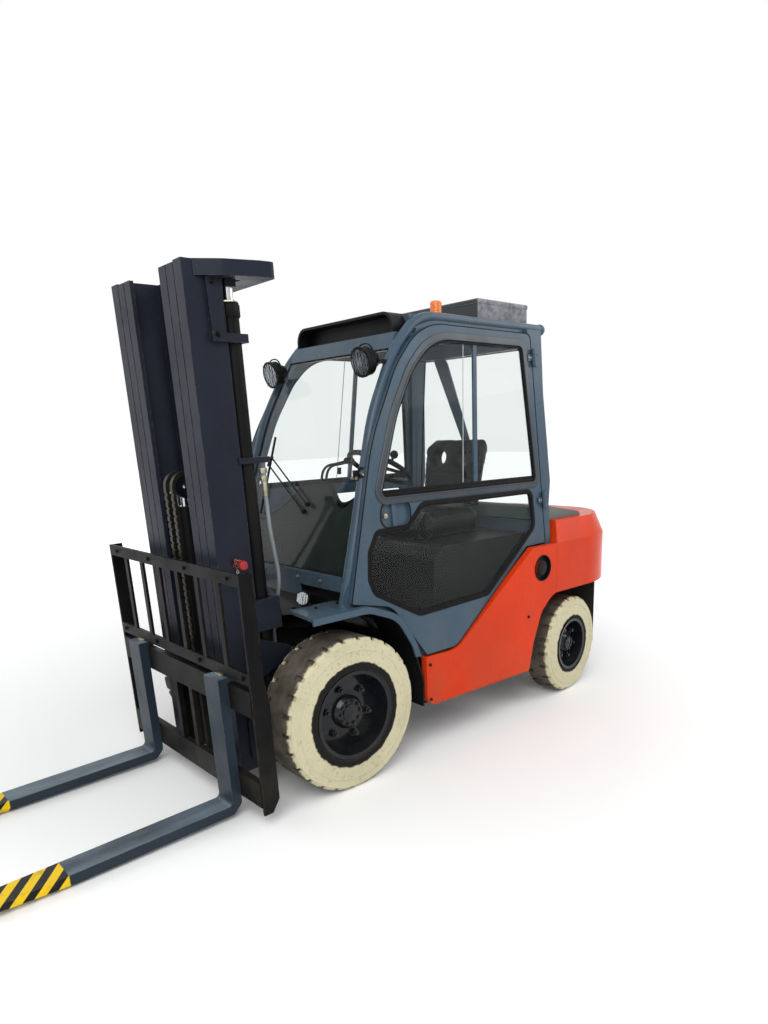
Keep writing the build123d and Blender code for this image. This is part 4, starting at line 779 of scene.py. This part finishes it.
class FORKLIFT_OT_doors(bpy.types.Operator):
    """Adds the window frames, rubbers, handle parts and sliding-pane fittings of both doors"""
    bl_idname = "forklift.doors"
    bl_label = "Door windows and handles"

    def execute(self, context):
        sizes, cab = context.scene.forklift_sizes, tuple(context.scene.forklift_colours.cab)
        rubber, zinc, plastic = seal_rubber(), zinc_plate(), grained_plastic()
        trim = paint("window_frame_paint", shaded(cab, 0.3), shaded(cab, 0.45), "#2b2a2c", "#77746a",
                     roughness=0.3, coat=0.1, shine=0.4)
        edge = plain("glass_edge", "#aebaba", "#8c9a9a", 0.2)
        for name, side in SIDES:
            outline, *windows, recess = door_loops(name, side)
            lower, upper = sorted(windows, key=lambda loop: middle_of(loop).z)
            normal, body = door_normal(side), f"{name}_door"
            turn = leaned(side) @ Matrix.Translation((AXLE_X, 0, 0))
            frames = bmesh.new()
            add_ring(frames, upper, normal, sizes.window_frame, -0.0005, 0.005)
            add_ring(frames, upper, normal, sizes.window_frame * 0.22, 0.004, 0.0085)
            piece(f"window_frame_{name}", frames, trim, body)
            seals = bmesh.new()
            for loop, width, low, high in ((upper, -0.011, -0.0078, 0.002),
                                           (lower, sizes.gasket, -0.0005, 0.003),
                                           (lower, sizes.gasket * 0.35, 0.002, 0.0055),
                                           (lower, -0.007, -0.0078, 0.003),
                                           (recess, 0.007, -0.0005, 0.003)):
                add_ring(seals, loop, normal, width, low, high)
            add_wire(seals, [place - normal * 0.0015 for place in outline], sizes.door_seal, closed=True,
                     straight=True)
            out = side * PANE_OUT
            near, far = sorted((out - side * 0.001, out + side * 0.010))
            add_box(seals, (-1.376, near, 1.297), (-0.268, far, 1.312), 0.002, turn)
            add_box(seals, (-1.372, out - 0.001, 1.311), (-0.285, out + 0.005, 1.327), 0.002, turn)
            piece(f"door_rubbers_{name}", seals, rubber, body)
            pane = bmesh.new()
            y = out + side * 0.001
            add_rod(pane, (-0.884, y, 1.980), (-0.817, y, 1.328), 0.0022, sides=8, turn=turn)
            piece(f"pane_edge_{name}", pane, edge, body)
            latch = bmesh.new()
            near, far = sorted((out - side * 0.001, out + side * 0.011))
            add_box(latch, (-0.852, near, 1.345), (-0.828, far, 1.385), 0.003, turn)
            piece(f"pane_latch_{name}", latch, plastic, body)
            knob = bmesh.new()
            for start, end, radius, width in ((0.575, 0.586, 0.012, 0.002), (0.586, 0.588, 0.006, 0.001)):
                add_rod(knob, (-0.292, side * start, 1.212), (-0.292, side * end, 1.212), radius, width=width,
                        turn=turn)
            for z in (1.190, 1.940):
                for dx in (0.020, 0.036):
                    x = HINGE_X + (z - HINGE_Z) * math.tan(HINGE_LEAN) + dx
                    add_bolt(knob, turn @ Vector((x, side * 0.5945, z)), normal, 0.010)
            piece(f"door_lock_{name}", knob, zinc, body)
        return {"FINISHED"}


class FORKLIFT_OT_screens(bpy.types.Operator):
    """Adds the rubbers of the fixed panes, the wiper and the clamp on the left guard tube"""
    bl_idname = "forklift.screens"
    bl_label = "Screens and wiper"

    def execute(self, context):
        rubber, zinc, plastic = seal_rubber(), zinc_plate(), grained_plastic()
        seals = bmesh.new()
        for node, way in (("windscreen", 1), ("rear_window", -1)):
            for loop in loops_of(node_faces(node, lambda face: face.normal.x * way > 0.5)):
                add_wire(seals, [place - Vector((0.003 * way, 0, 0)) for place in loop], 0.006, closed=True,
                         straight=True)
        piece("screen_rubbers", seals, rubber, "chassis")
        wiper = bmesh.new()
        (root_y, root_z), (tip_y, tip_z) = WIPER_ROOT, WIPER_TIP
        for shift in (-0.018, 0.018):
            start = at(glass_x(root_z) + 0.014, root_y + shift, root_z + shift)
            end = at(glass_x(tip_z) + 0.016, tip_y + shift, tip_z + shift)
            add_rod(wiper, start, end, 0.0042, sides=10)
            add_stub(wiper, start, Vector((1, 0, 0)), -0.016, 0.008, 0.011, sides=16, width=0.002)
        blade = [at(glass_x(z) + 0.012, tip_y, z) for z in (tip_z - 0.26, tip_z + 0.12)]
        add_rod(wiper, *blade, 0.006, sides=8)
        hub = glass_x(tip_z) + 0.016
        add_rod(wiper, at(hub, tip_y - 0.022, tip_z - 0.022), at(hub, tip_y + 0.022, tip_z + 0.022), 0.008,
                sides=8)
        piece("wiper", wiper, plastic, "chassis")
        clamp = bmesh.new()
        share = (CLAMP_Z - GUARD_FOOT.z) / (GUARD_TURN.z - GUARD_FOOT.z)
        along = leaned(1).to_3x3() @ (GUARD_TURN - GUARD_FOOT).normalized()
        middle = leaned(1) @ (GUARD_FOOT.lerp(GUARD_TURN, share) + Vector((AXLE_X, 0, 0)))
        for height in (-0.022, 0.014):
            add_spun(clamp, middle + along * height, along, hoop(0.0258, 0.0300, -0.006, 0.006), 40)
        reach = middle + Vector((0.034, -0.010, -0.008))
        add_box(clamp, reach - Vector((0.014, 0.016, 0.022)), reach + Vector((0.012, 0.016, 0.022)), 0.004)
        piece("tube_clamp", clamp, plastic, "chassis")
        nuts = bmesh.new()
        for dy in (-0.014, 0.014):
            add_bolt(nuts, reach + Vector((0.012, dy, -0.012)), (1, 0.2, 0), 0.012)
        add_rod(nuts, reach + Vector((-0.006, 0.016, 0.012)), reach + Vector((0.004, 0.052, 0.004)), 0.004)
        for side in (-1, 1):
            for y in (0.150, 0.330):
                add_bolt(nuts, at(-0.052, side * y, 0.925), (1, 0, 0), 0.013)
        piece("screen_bolts", nuts, zinc, "chassis")
        return {"FINISHED"}


class FORKLIFT_OT_lamps(bpy.types.Operator):
    """Adds the lenses, mirrors and bails of the lamps, and the roof's fittings"""
    bl_idname = "forklift.lamps"
    bl_label = "Lamps and roof"

    def execute(self, context):
        mirror, glass, plastic, steel = lamp_mirror(), window_glass(), grained_plastic(), zinc_plate()
        mirrors, lenses, bails = bmesh.new(), bmesh.new(), bmesh.new()
        x, y, z = LAMP_PLACE
        ahead = Vector((math.cos(LAMP_DROP), 0, -math.sin(LAMP_DROP)))
        lamps = [(at(x, side * y, z), ahead, 0.0555, 0.028) for side in (1, -1)]
        plug = (at(0.060, 0.352, 0.866), Vector((0.75, 0.62, 0.2)).normalized(), 0.028, 0.022)
        for place, axis, radius, front in (*lamps, plug):
            add_stub(mirrors, place, axis, front - 0.001, front + 0.0015, radius, sides=40)
            add_stub(mirrors, place, axis, front + 0.001, front + 0.004, radius * 0.3, sides=20)
            profile = [(0.0, front + 0.0035), (radius, front + 0.0035), (radius * 0.99, front + 0.006),
                       (radius * 0.7, front + 0.0095), (radius * 0.35, front + 0.0115), (0.0, front + 0.012)]
            add_spun(lenses, place, axis, profile, 40)
        for place, axis, radius, front in lamps:
            for share in (-0.6, -0.3, 0.0, 0.3, 0.6):
                half = math.sqrt(1 - share * share) * (radius + 0.010)
                middle = place + axis * (front + 0.010) + Vector((0, share * (radius + 0.010), 0))
                rise = Vector((math.sin(LAMP_DROP), 0, math.cos(LAMP_DROP))) * half
                add_rod(bails, middle - rise, middle + rise, 0.0016, sides=6)
            wide, tall = radius + 0.018, radius + 0.024
            arc = [place + axis * 0.004 + Vector((0, math.sin(angle) * wide, math.cos(angle) * tall))
                   for angle in (-1.5, -1.0, -0.4, 0.4, 1.0, 1.5)]
            add_wire(bails, arc, 0.0035)
        place, axis, radius, front = plug
        add_stub(bails, place, axis, -0.030, front, radius * 0.8, radius + 0.003, sides=32, width=0.002)
        add_rod(bails, place - axis * 0.020, at(0.045, 0.375, 0.828), 0.009)
        add_spun(bails, place, axis, hoop(radius, radius + 0.004, front - 0.003, front + 0.006), 40)
        piece("lamp_mirrors", mirrors, mirror, "chassis")
        piece("lamp_lenses", lenses, glass, "chassis")
        piece("lamp_bails", bails, plastic, "chassis")
        roof = bmesh.new()
        x0, x1, y0, y1 = ROOF_BOX
        for low_x, high_x, low_y, high_y in ((x0 - 0.003, x1 + 0.003, y0 - 0.003, y0 + 0.002),
                                             (x0 - 0.003, x1 + 0.003, y1 - 0.002, y1 + 0.003),
                                             (x0 - 0.003, x0 + 0.002, y0, y1),
                                             (x1 - 0.002, x1 + 0.003, y0, y1)):
            add_box(roof, at(low_x, low_y, 2.206), at(high_x, high_y, 2.226), 0.0012)
        piece("roof_box_rim", roof, box_paint(), "chassis")
        bolts = bmesh.new()
        for x in (-1.500, -1.347, -1.194):
            for y in (y0 - 0.001, y1 + 0.001):
                add_bolt(bolts, at(x, y, 2.125), (0, math.copysign(1, y), 0), 0.010)
        for i in range(3):
            foot = at(-0.920 + 0.040 * math.cos(2.1 * i), 0.250 + 0.040 * math.sin(2.1 * i), 2.1)
            add_bolt(bolts, foot, (0, 0, 1), 0.008)
        piece("roof_bolts", bolts, steel, "chassis")
        return {"FINISHED"}


class FORKLIFT_OT_cab_inside(bpy.types.Operator):
    """Adds the dashboard's edge, gauges, levers, pedals, floor mat and the knob on the steering wheel"""
    bl_idname = "forklift.cab_inside"
    bl_label = "Inside of the cab"

    def execute(self, context):
        rubber, plastic, steel = seal_rubber(), grained_plastic(), frame_paint()
        pale = plain("dial_face", "#c9cbc6", "#b4b6b0", 0.35)
        edge = bmesh.new()
        add_wire(edge, [at(glass_x(z) - 0.031, y, z) for y, z in DASH_EDGE], 0.011)
        for i in range(29):
            y = -0.42 + 0.03 * i
            add_box(edge, at(-0.672, y, 0.6405), at(-0.470, y + 0.018, 0.648), 0.002)
        add_box(edge, at(-0.676, -0.440, 0.6402), at(-0.466, 0.440, 0.6435), 0.001)
        piece("cab_rubbers", edge, rubber, "chassis")
        levers = bmesh.new()
        for y in LEVER_YS:
            add_wire(levers, [at(x, y, z) for x, z in LEVER_BEND], 0.0065)
        for y in LEVER_YS:
            bmesh.ops.create_uvsphere(levers, u_segments=16, v_segments=10, radius=0.017,
                                      matrix=Matrix.Translation(at(-0.476, y, 1.442)))
        for y, half in ((-0.170, 0.030), (-0.060, 0.035), (0.215, 0.035)):
            pedal = spot(at(-0.300, y, 0.735), -43)
            add_box(levers, (-0.050, -half, 0.0), (0.050, half, 0.010), 0.003, pedal)
            for i in range(5):
                x = -0.042 + 0.018 * i
                add_box(levers, (x, -half + 0.004, 0.009), (x + 0.008, half - 0.004, 0.014), 0.001, pedal)
            add_rod(levers, at(-0.300, y, 0.735), at(-0.235, y, 0.735), 0.008)
        piece("levers_and_pedals", levers, plastic, "chassis")
        pod, faces = bmesh.new(), bmesh.new()
        tilt = spot(at(-0.330, 0.090, 1.238), -25)
        add_box(pod, (-0.070, -0.080, -0.020), (0.050, 0.080, 0.012), 0.008, tilt)
        piece("gauge_pod", pod, plastic, "chassis")
        for y in (-0.038, 0.038):
            add_rod(faces, (-0.008, y, 0.011), (-0.008, y, 0.014), 0.030, sides=32, width=0.001, turn=tilt)
        piece("gauge_faces", faces, pale, "chassis")
        knob = bmesh.new()
        wheel = spot(at(-0.640, 0.090, 1.400), -30)
        add_rod(knob, (0.060, 0.152, 0.008), (0.060, 0.152, 0.030), 0.007, turn=wheel)
        bmesh.ops.create_uvsphere(knob, u_segments=20, v_segments=12, radius=0.021,
                                  matrix=Matrix.Translation(wheel @ Vector((0.060, 0.152, 0.043))))
        add_rod(knob, (0, 0, 0.017), (0, 0, 0.030), 0.040, 0.030, sides=32, width=0.004, turn=wheel)
        piece("steering_knob", knob, plastic, "steering")
        rails = bmesh.new()
        for y in (-0.150, 0.150):
            add_box(rails, at(-1.300, y - 0.020, 1.0003), at(-0.830, y + 0.020, 1.006), 0.002)
        piece("seat_rails", rails, steel, "chassis")
        return {"FINISHED"}


def stuffed(name, bm, material, sizes, groove):
    """A padded seat piece: remeshed, swollen as cloth under pressure, then its channels are sewn in."""
    scene = bpy.context.scene
    mesh = mesh_of(name, bm)
    pad = linked(name, mesh)
    remesh = pad.modifiers.new("remesh", "REMESH")
    remesh.mode = "VOXEL"
    remesh.voxel_size = 0.006
    bpy.context.view_layer.update()
    shape = evaluated(pad)
    pad.modifiers.remove(remesh)
    pad.data = shape
    bpy.data.meshes.remove(mesh)
    rest = [vert.co.copy() for vert in shape.vertices]
    cloth = pad.modifiers.new("cloth", "CLOTH")
    cloth.settings.use_pressure = True
    cloth.settings.uniform_pressure_force = 4
    cloth.settings.effector_weights.gravity = 0
    cloth.point_cache.frame_end = 20
    for number in range(1, 21):
        scene.frame_set(number)
    swollen = evaluated(pad)
    for vert, place, moved in zip(shape.vertices, rest, swollen.vertices):
        move = moved.co - place
        vert.co = place + move * min(1.0, sizes.seat_swell / max(move.length, 1e-9))
    pad.modifiers.remove(cloth)
    bpy.data.meshes.remove(swollen)
    scene.frame_set(1)
    for vert in shape.vertices:
        depth = groove(vert.co)
        if depth:
            vert.co -= vert.normal * sizes.seam_depth * depth
    shape.polygons.foreach_set("use_smooth", [True] * len(shape.polygons))
    finer = pad.modifiers.new("finer", "SUBSURF")
    finer.levels = 1
    finer.render_levels = 1
    shape.materials.clear()
    shape.materials.append(material)
    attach(pad, "chassis")
    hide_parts("seat")


def channel_at(value, lines, width=0.010):
    """1 on a sewn line, falling to 0 at a width from it."""
    return max(0.0, 1.0 - min(abs(value - line) for line in lines) / width)


def cushion_groove(place):
    """How deep a seam the cushion has at a place, from 0 to 1."""
    on_top = place.z > CUSHION_HIGH[2] - 0.035
    return on_top * max(channel_at(place.y, (-0.125, 0.125)), channel_at(place.x, (AXLE_X - 0.930,)))


def back_groove(place):
    """How deep a seam the seat's back has at a place, from 0 to 1."""
    front = place.x - AXLE_X > -1.272 - (place.z - 1.152) * 0.17
    return front * max(channel_at(place.z, (1.250, 1.335)) * (abs(place.y) < 0.150),
                       channel_at(place.y, (-0.150, 0.150)) * (place.z < 1.345))


class FORKLIFT_OT_seat(bpy.types.Operator):
    """Makes the padded cushion and back of the driver's seat"""
    bl_idname = "forklift.seat"
    bl_label = "Padded seat"

    def execute(self, context):
        sizes, vinyl = context.scene.forklift_sizes, seat_vinyl()
        bm = bmesh.new()
        add_box(bm, at(*CUSHION_LOW), at(*CUSHION_HIGH), 0.045)
        stuffed("seat_cushion", bm, vinyl, sizes, cushion_groove)
        bm = bmesh.new()
        verts = [bm.verts.new(at(x, -BACK_HALF_W, z)) for x, z in BACK_PROFILE]
        made = bmesh.ops.extrude_face_region(bm, geom=[bm.faces.new(verts)])["geom"]
        far = [item for item in made if isinstance(item, bmesh.types.BMVert)]
        bmesh.ops.translate(bm, verts=far, vec=(0, 2 * BACK_HALF_W, 0))
        bmesh.ops.recalc_face_normals(bm, faces=bm.faces)
        corners = [edge for edge in bm.edges if all(vert.co.z > 1.45 for vert in edge.verts)
                   and abs(edge.verts[0].co.y - edge.verts[1].co.y) < 0.001]
        rounded(bm, corners, 0.030, segments=3)
        block = linked("back", mesh_of("back", bm))
        cutters = []
        for side in (-1, 1):
            hole = bmesh.new()
            place = spot(at(-1.290, side * 0.100, 1.430), 90) @ Matrix.Diagonal((0.92, 1.1, 1, 1))
            bmesh.ops.create_cone(hole, cap_ends=True, segments=32, radius1=0.050, radius2=0.050, depth=0.3,
                                  matrix=place)
            cutter = linked("hole", mesh_of("hole", hole))
            cut = block.modifiers.new("cut", "BOOLEAN")
            cut.object = cutter
            cut.operation = "DIFFERENCE"
            cutters.append(cutter)
        context.view_layer.update()
        opened = evaluated(block)
        bm = bmesh.new()
        bm.from_mesh(opened)
        for scrap in (block, *cutters):
            mesh = scrap.data
            bpy.data.objects.remove(scrap)
            bpy.data.meshes.remove(mesh)
        bpy.data.meshes.remove(opened)
        stuffed("seat_back", bm, vinyl, sizes, back_groove)
        return {"FINISHED"}


class FORKLIFT_OT_body(bpy.types.Operator):
    """Adds the filler's cup and cap, the cover's slats and the bolts of the body"""
    bl_idname = "forklift.body_fittings"
    bl_label = "Body fittings"

    def execute(self, context):
        plastic, steel, cover = grained_plastic(), frame_paint(), cover_paint()
        cup = bmesh.new()
        hole = at(*FILLER_PLACE)
        out = BODY_HALF_W
        for side in (-1, 1):
            add_spun(cup, hole, (0, side, 0), [(0.0405, out - 0.0235), (0.0735, out - 0.0235),
                                               (0.0735, out + 0.002), (0.0700, out + 0.003),
                                               (0.0690, out - 0.020), (0.0405, out - 0.020)], 64)
            add_spun(cup, hole, (0, side, 0), [(0.0, out - 0.009), (0.0395, out - 0.009),
                                               (0.0395, out - 0.003), (0.0350, out - 0.001),
                                               (0.0, out - 0.001)], 48)
            near, far = sorted((side * (out - 0.010), side * (out - 0.003)))
            for i in range(12):
                add_box(cup, (0.036, near, -0.004), (0.0425, far, 0.004), 0.001, spot(hole, 360 * i / 12))
        piece("filler_cup", cup, plastic, "chassis")
        slats = bmesh.new()
        rise = math.atan2(1.150 - 1.082, 0.366)
        for i in range(9):
            along = 0.034 * i
            turn = spot(at(-1.850 + along, 0, 1.0845 + along * math.tan(rise)), -math.degrees(rise))
            add_box(slats, (-0.006, -0.300, -0.002), (0.008, 0.300, 0.004), 0.001, turn)
        piece("cover_slats", slats, cover, "chassis")
        bolts = bmesh.new()
        for side in (-1, 1):
            for x, z in ((-0.480, 0.290), (-0.480, 0.470), (-1.250, 0.560)):
                add_bolt(bolts, at(x, side * (BODY_HALF_W - 0.0005), z), (0, side, 0), 0.012)
            for x in (0.060, -0.060):
                add_bolt(bolts, at(x, side * 0.440, 0.8315), (0, 0, 1), 0.012)
        piece("body_bolts", bolts, steel, "chassis")
        return {"FINISHED"}


class FORKLIFT_OT_mast(bpy.types.Operator):
    """Adds the hose ends, gland nuts, couplers with red caps, bolts and chain pins of the mast"""
    bl_idname = "forklift.mast_fittings"
    bl_label = "Mast fittings"

    def execute(self, context):
        zinc, red, steel = zinc_plate(), red_plastic(), frame_paint()
        ends, bolts, caps, rods, pins = (bmesh.new() for _ in range(5))
        up, out = Vector((0, 0, 1)), Vector((0, 1, 0))
        ram_x, ram_y = LIFT_RAM
        barrel_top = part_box("lift_barrels")[1].z
        rod_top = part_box("lift_rods")[1].z
        for side in (-1, 1):
            hose = at(HOSE_X, side * ram_y, 0)
            add_stub(ends, hose, up, 1.330, 1.394, 0.0125, width=0.001)
            add_stub(ends, hose, up, 1.394, 1.412, 0.0165, sides=6, width=0.001)
            add_stub(ends, hose, up, 1.425, 1.446, 0.0185, sides=6, width=0.001)
            ram = at(ram_x, side * ram_y, 0)
            add_stub(bolts, ram, up, barrel_top - 0.052, barrel_top - 0.006, 0.0435, sides=8, width=0.003)
            for z, y in ((2.146, 0.342), (1.960, 0.3505)):
                add_bolt(bolts, at(0.330, side * y, z), (0, side, 0), 0.014)
            for z in (rod_top - 0.110, rod_top - 0.072):
                add_stub(rods, ram, up, z, z + 0.026, 0.036, sides=6, width=0.002)
        for z in (1.062, 0.992):
            port = at(0.336 + (1.062 - z) * 0.2, 0.328, z)
            add_stub(ends, port, out, 0, 0.026, 0.016, width=0.002)
            add_stub(caps, port, out, 0.024, 0.038, 0.022, 0.018, width=0.003)
            add_wire(caps, [port + Vector(step) for step in CAP_TETHER], 0.0035)
        for i in range(9):
            link = at(0.358 - 0.0012 * i, 0.334, 1.085 - 0.0125 * i)
            axis = Vector((1, 0, 0)) if i % 2 else out
            add_spun(ends, link, axis, hoop(0.0042, 0.0068, -0.0012, 0.0012), 10)
        for side in (-1, 1):
            for i in range(24):
                centre = at(CHAIN_PIN_X, side * 0.032, 0.677 + CHAIN_PITCH * i)
                add_stub(pins, centre, out, -0.0142, 0.0142, 0.0046, sides=12)
        for bm, name, material, body, slot in (
                (ends, "hose_ends", zinc, "mast_outer", "rod_chrome"),
                (bolts, "mast_bolts", steel, "mast_outer", "frame_black"),
                (caps, "coupler_caps", red, "mast_outer", "body_red"),
                (rods, "rod_nuts", zinc, "mast_middle", "rod_chrome"),
                (pins, "chain_pins", chain_steel(), "free_lift", "chain_steel")):
            leaned_mast(bm)
            piece(name, bm, material, body)
        return {"FINISHED"}


class FORKLIFT_OT_carriage(bpy.types.Operator):
    """Adds the fork latches and the backrest's bolts"""
    bl_idname = "forklift.carriage_fittings"
    bl_label = "Carriage fittings"

    def execute(self, context):
        steel, zinc = frame_paint(), zinc_plate()
        latches, bolts = bmesh.new(), bmesh.new()
        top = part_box("fork_left")[1].z
        for side in (-1, 1):
            shank = at(0.508, side * 0.390, top)
            grip = shank + Vector((0, 0, 0.048))
            add_box(latches, shank - Vector((0.020, 0.022, 0.004)), shank + Vector((0.020, 0.022, 0.016)),
                    0.003)
            add_stub(latches, shank, Vector((0, 0, 1)), 0, 0.050, 0.007)
            add_stub(latches, grip, Vector((0, 1, 0)), -0.026, 0.026, 0.006, width=0.001)
            for y in (0.540, 0.180):
                add_bolt(bolts, at(0.5145, side * y, 1.062), (1, 0, 0), 0.013)
                add_bolt(bolts, at(0.5145, side * (y + 0.035), 0.665), (1, 0, 0), 0.016)
        leaned_mast(latches)
        leaned_mast(bolts)
        piece("fork_latches", latches, zinc, "fork_carriage")
        piece("backrest_bolts", bolts, steel, "fork_carriage")
        return {"FINISHED"}


def seen_rays(m):
    """1 for rays from the camera, off shiny surfaces and through glass, 0 for the rays that light things."""
    rays = add_node(m, "ShaderNodeLightPath").outputs
    direct = maths(m, "MAXIMUM", rays["Is Camera Ray"], rays["Is Glossy Ray"])
    return maths(m, "MAXIMUM", direct, rays["Is Transmission Ray"])


class FORKLIFT_OT_stage(bpy.types.Operator):
    """Makes the floor, the soft studio light and the camera"""
    bl_idname = "forklift.stage"
    bl_label = "Stage, light and camera"

    def execute(self, context):
        scene = context.scene
        bpy.ops.mesh.primitive_plane_add(size=80)
        floor = context.object
        floor.name = "floor"
        m, out = new_material("pale_floor")
        shader = add_node(m, "ShaderNodeBsdfPrincipled", {"Base Color": linear("#f4f4f3"), "Roughness": 0.6,
                                                          "Specular IOR Level": 0.2})
        place = add_node(m, "ShaderNodeTexCoord").outputs["Object"]
        away = add_node(m, "ShaderNodeVectorMath", {0: place}, operation="LENGTH").outputs["Value"]
        # The floor turns white with distance, and keeps the truck's shadow.
        white = times(m, seen_rays(m), band(m, away, 1.5, 7.0, 0.04, 0.6))
        lift = add_node(m, "ShaderNodeEmission", {0: linear("#ffffff"), 1: white})
        both = add_node(m, "ShaderNodeAddShader", {0: shader.outputs[0], 1: lift.outputs[0]})
        m.node_tree.links.new(both.outputs[0], out.inputs[0])
        m.cycles.emission_sampling = "NONE"
        floor.data.materials.append(m)
        world = bpy.data.worlds.new("studio")
        scene.world = world
        world.use_nodes = True
        world.node_tree.nodes.clear()
        soft = add_node(world, "ShaderNodeBackground", {0: linear("#f2f4f6"), 1: 0.62})
        white = add_node(world, "ShaderNodeBackground", {0: linear("#ffffff"), 1: 1.0})
        both = add_node(world, "ShaderNodeMixShader", {0: seen_rays(world), 1: soft.outputs[0],
                                                       2: white.outputs[0]})
        out = add_node(world, "ShaderNodeOutputWorld")
        world.node_tree.links.new(both.outputs[0], out.inputs[0])
        for name, place, size, power in LAMPS:
            lamp = bpy.data.lights.new(name, "AREA")
            lamp.size = size
            lamp.energy = power
            light = linked(name, lamp)
            light.visible_transmission = False
            light.location = place
            light.rotation_euler = (Vector((0, 0, 0.9)) - Vector(place)).to_track_quat("-Z", "Y").to_euler()
        yaw, pitch, roll = (math.radians(angle) for angle in CAMERA_ANGLES)
        forward = Vector((math.cos(yaw) * math.cos(pitch), math.sin(yaw) * math.cos(pitch), math.sin(pitch)))
        level = forward.cross(Vector((0, 0, 1))).normalized()
        upward = level.cross(forward)
        right = level * math.cos(roll) + upward * math.sin(roll)
        up = upward * math.cos(roll) - level * math.sin(roll)
        camera = bpy.data.cameras.new("camera")
        camera.lens = FOCAL_PX / PHOTO_H * 36
        camera.shift_x = (PHOTO_W / 2 - OPTIC_X) / PHOTO_H
        camera.shift_y = (OPTIC_Y - PHOTO_H / 2) / PHOTO_H
        eye = linked("camera", camera)
        turn = Matrix((right, up, -forward)).transposed()
        eye.matrix_world = Matrix.Translation(at(*CAMERA_PLACE)) @ turn.to_4x4()
        scene.camera = eye
        scene.view_settings.view_transform = "Standard"
        return {"FINISHED"}


OPERATORS = (FORKLIFT_OT_stage, FORKLIFT_OT_paint, FORKLIFT_OT_wheels, FORKLIFT_OT_doors, FORKLIFT_OT_screens,
             FORKLIFT_OT_lamps, FORKLIFT_OT_cab_inside, FORKLIFT_OT_seat, FORKLIFT_OT_body, FORKLIFT_OT_mast,
             FORKLIFT_OT_carriage)


class FORKLIFT_PT_panel(bpy.types.Panel):
    """Lists the truck's colours, sizes and making steps"""
    bl_idname = "FORKLIFT_PT_panel"
    bl_label = "Forklift"
    bl_space_type = "VIEW_3D"
    bl_region_type = "UI"
    bl_category = "Forklift"

    def draw(self, context):
        for group in (context.scene.forklift_colours, context.scene.forklift_sizes):
            column = self.layout.column()
            for name in group.bl_rna.properties.keys():
                if name not in ("rna_type", "name"):
                    column.prop(group, name)
        for operator in OPERATORS:
            self.layout.operator(operator.bl_idname)


CLASSES = (ForkliftColours, ForkliftSizes, *OPERATORS, FORKLIFT_PT_panel)


def register():
    for cls in CLASSES:
        bpy.utils.register_class(cls)
    bpy.types.Scene.forklift_colours = PointerProperty(type=ForkliftColours)
    bpy.types.Scene.forklift_sizes = PointerProperty(type=ForkliftSizes)


def unregister():
    del bpy.types.Scene.forklift_sizes
    del bpy.types.Scene.forklift_colours
    for cls in reversed(CLASSES):
        bpy.utils.unregister_class(cls)


def main():
    register()
    bpy.ops.forklift.stage()
    bpy.ops.forklift.paint()
    bpy.ops.forklift.wheels()
    bpy.ops.forklift.doors()
    bpy.ops.forklift.screens()
    bpy.ops.forklift.lamps()
    bpy.ops.forklift.cab_inside()
    bpy.ops.forklift.seat()
    bpy.ops.forklift.body_fittings()
    bpy.ops.forklift.mast_fittings()
    bpy.ops.forklift.carriage_fittings()


if __name__ == "__main__":
    main()
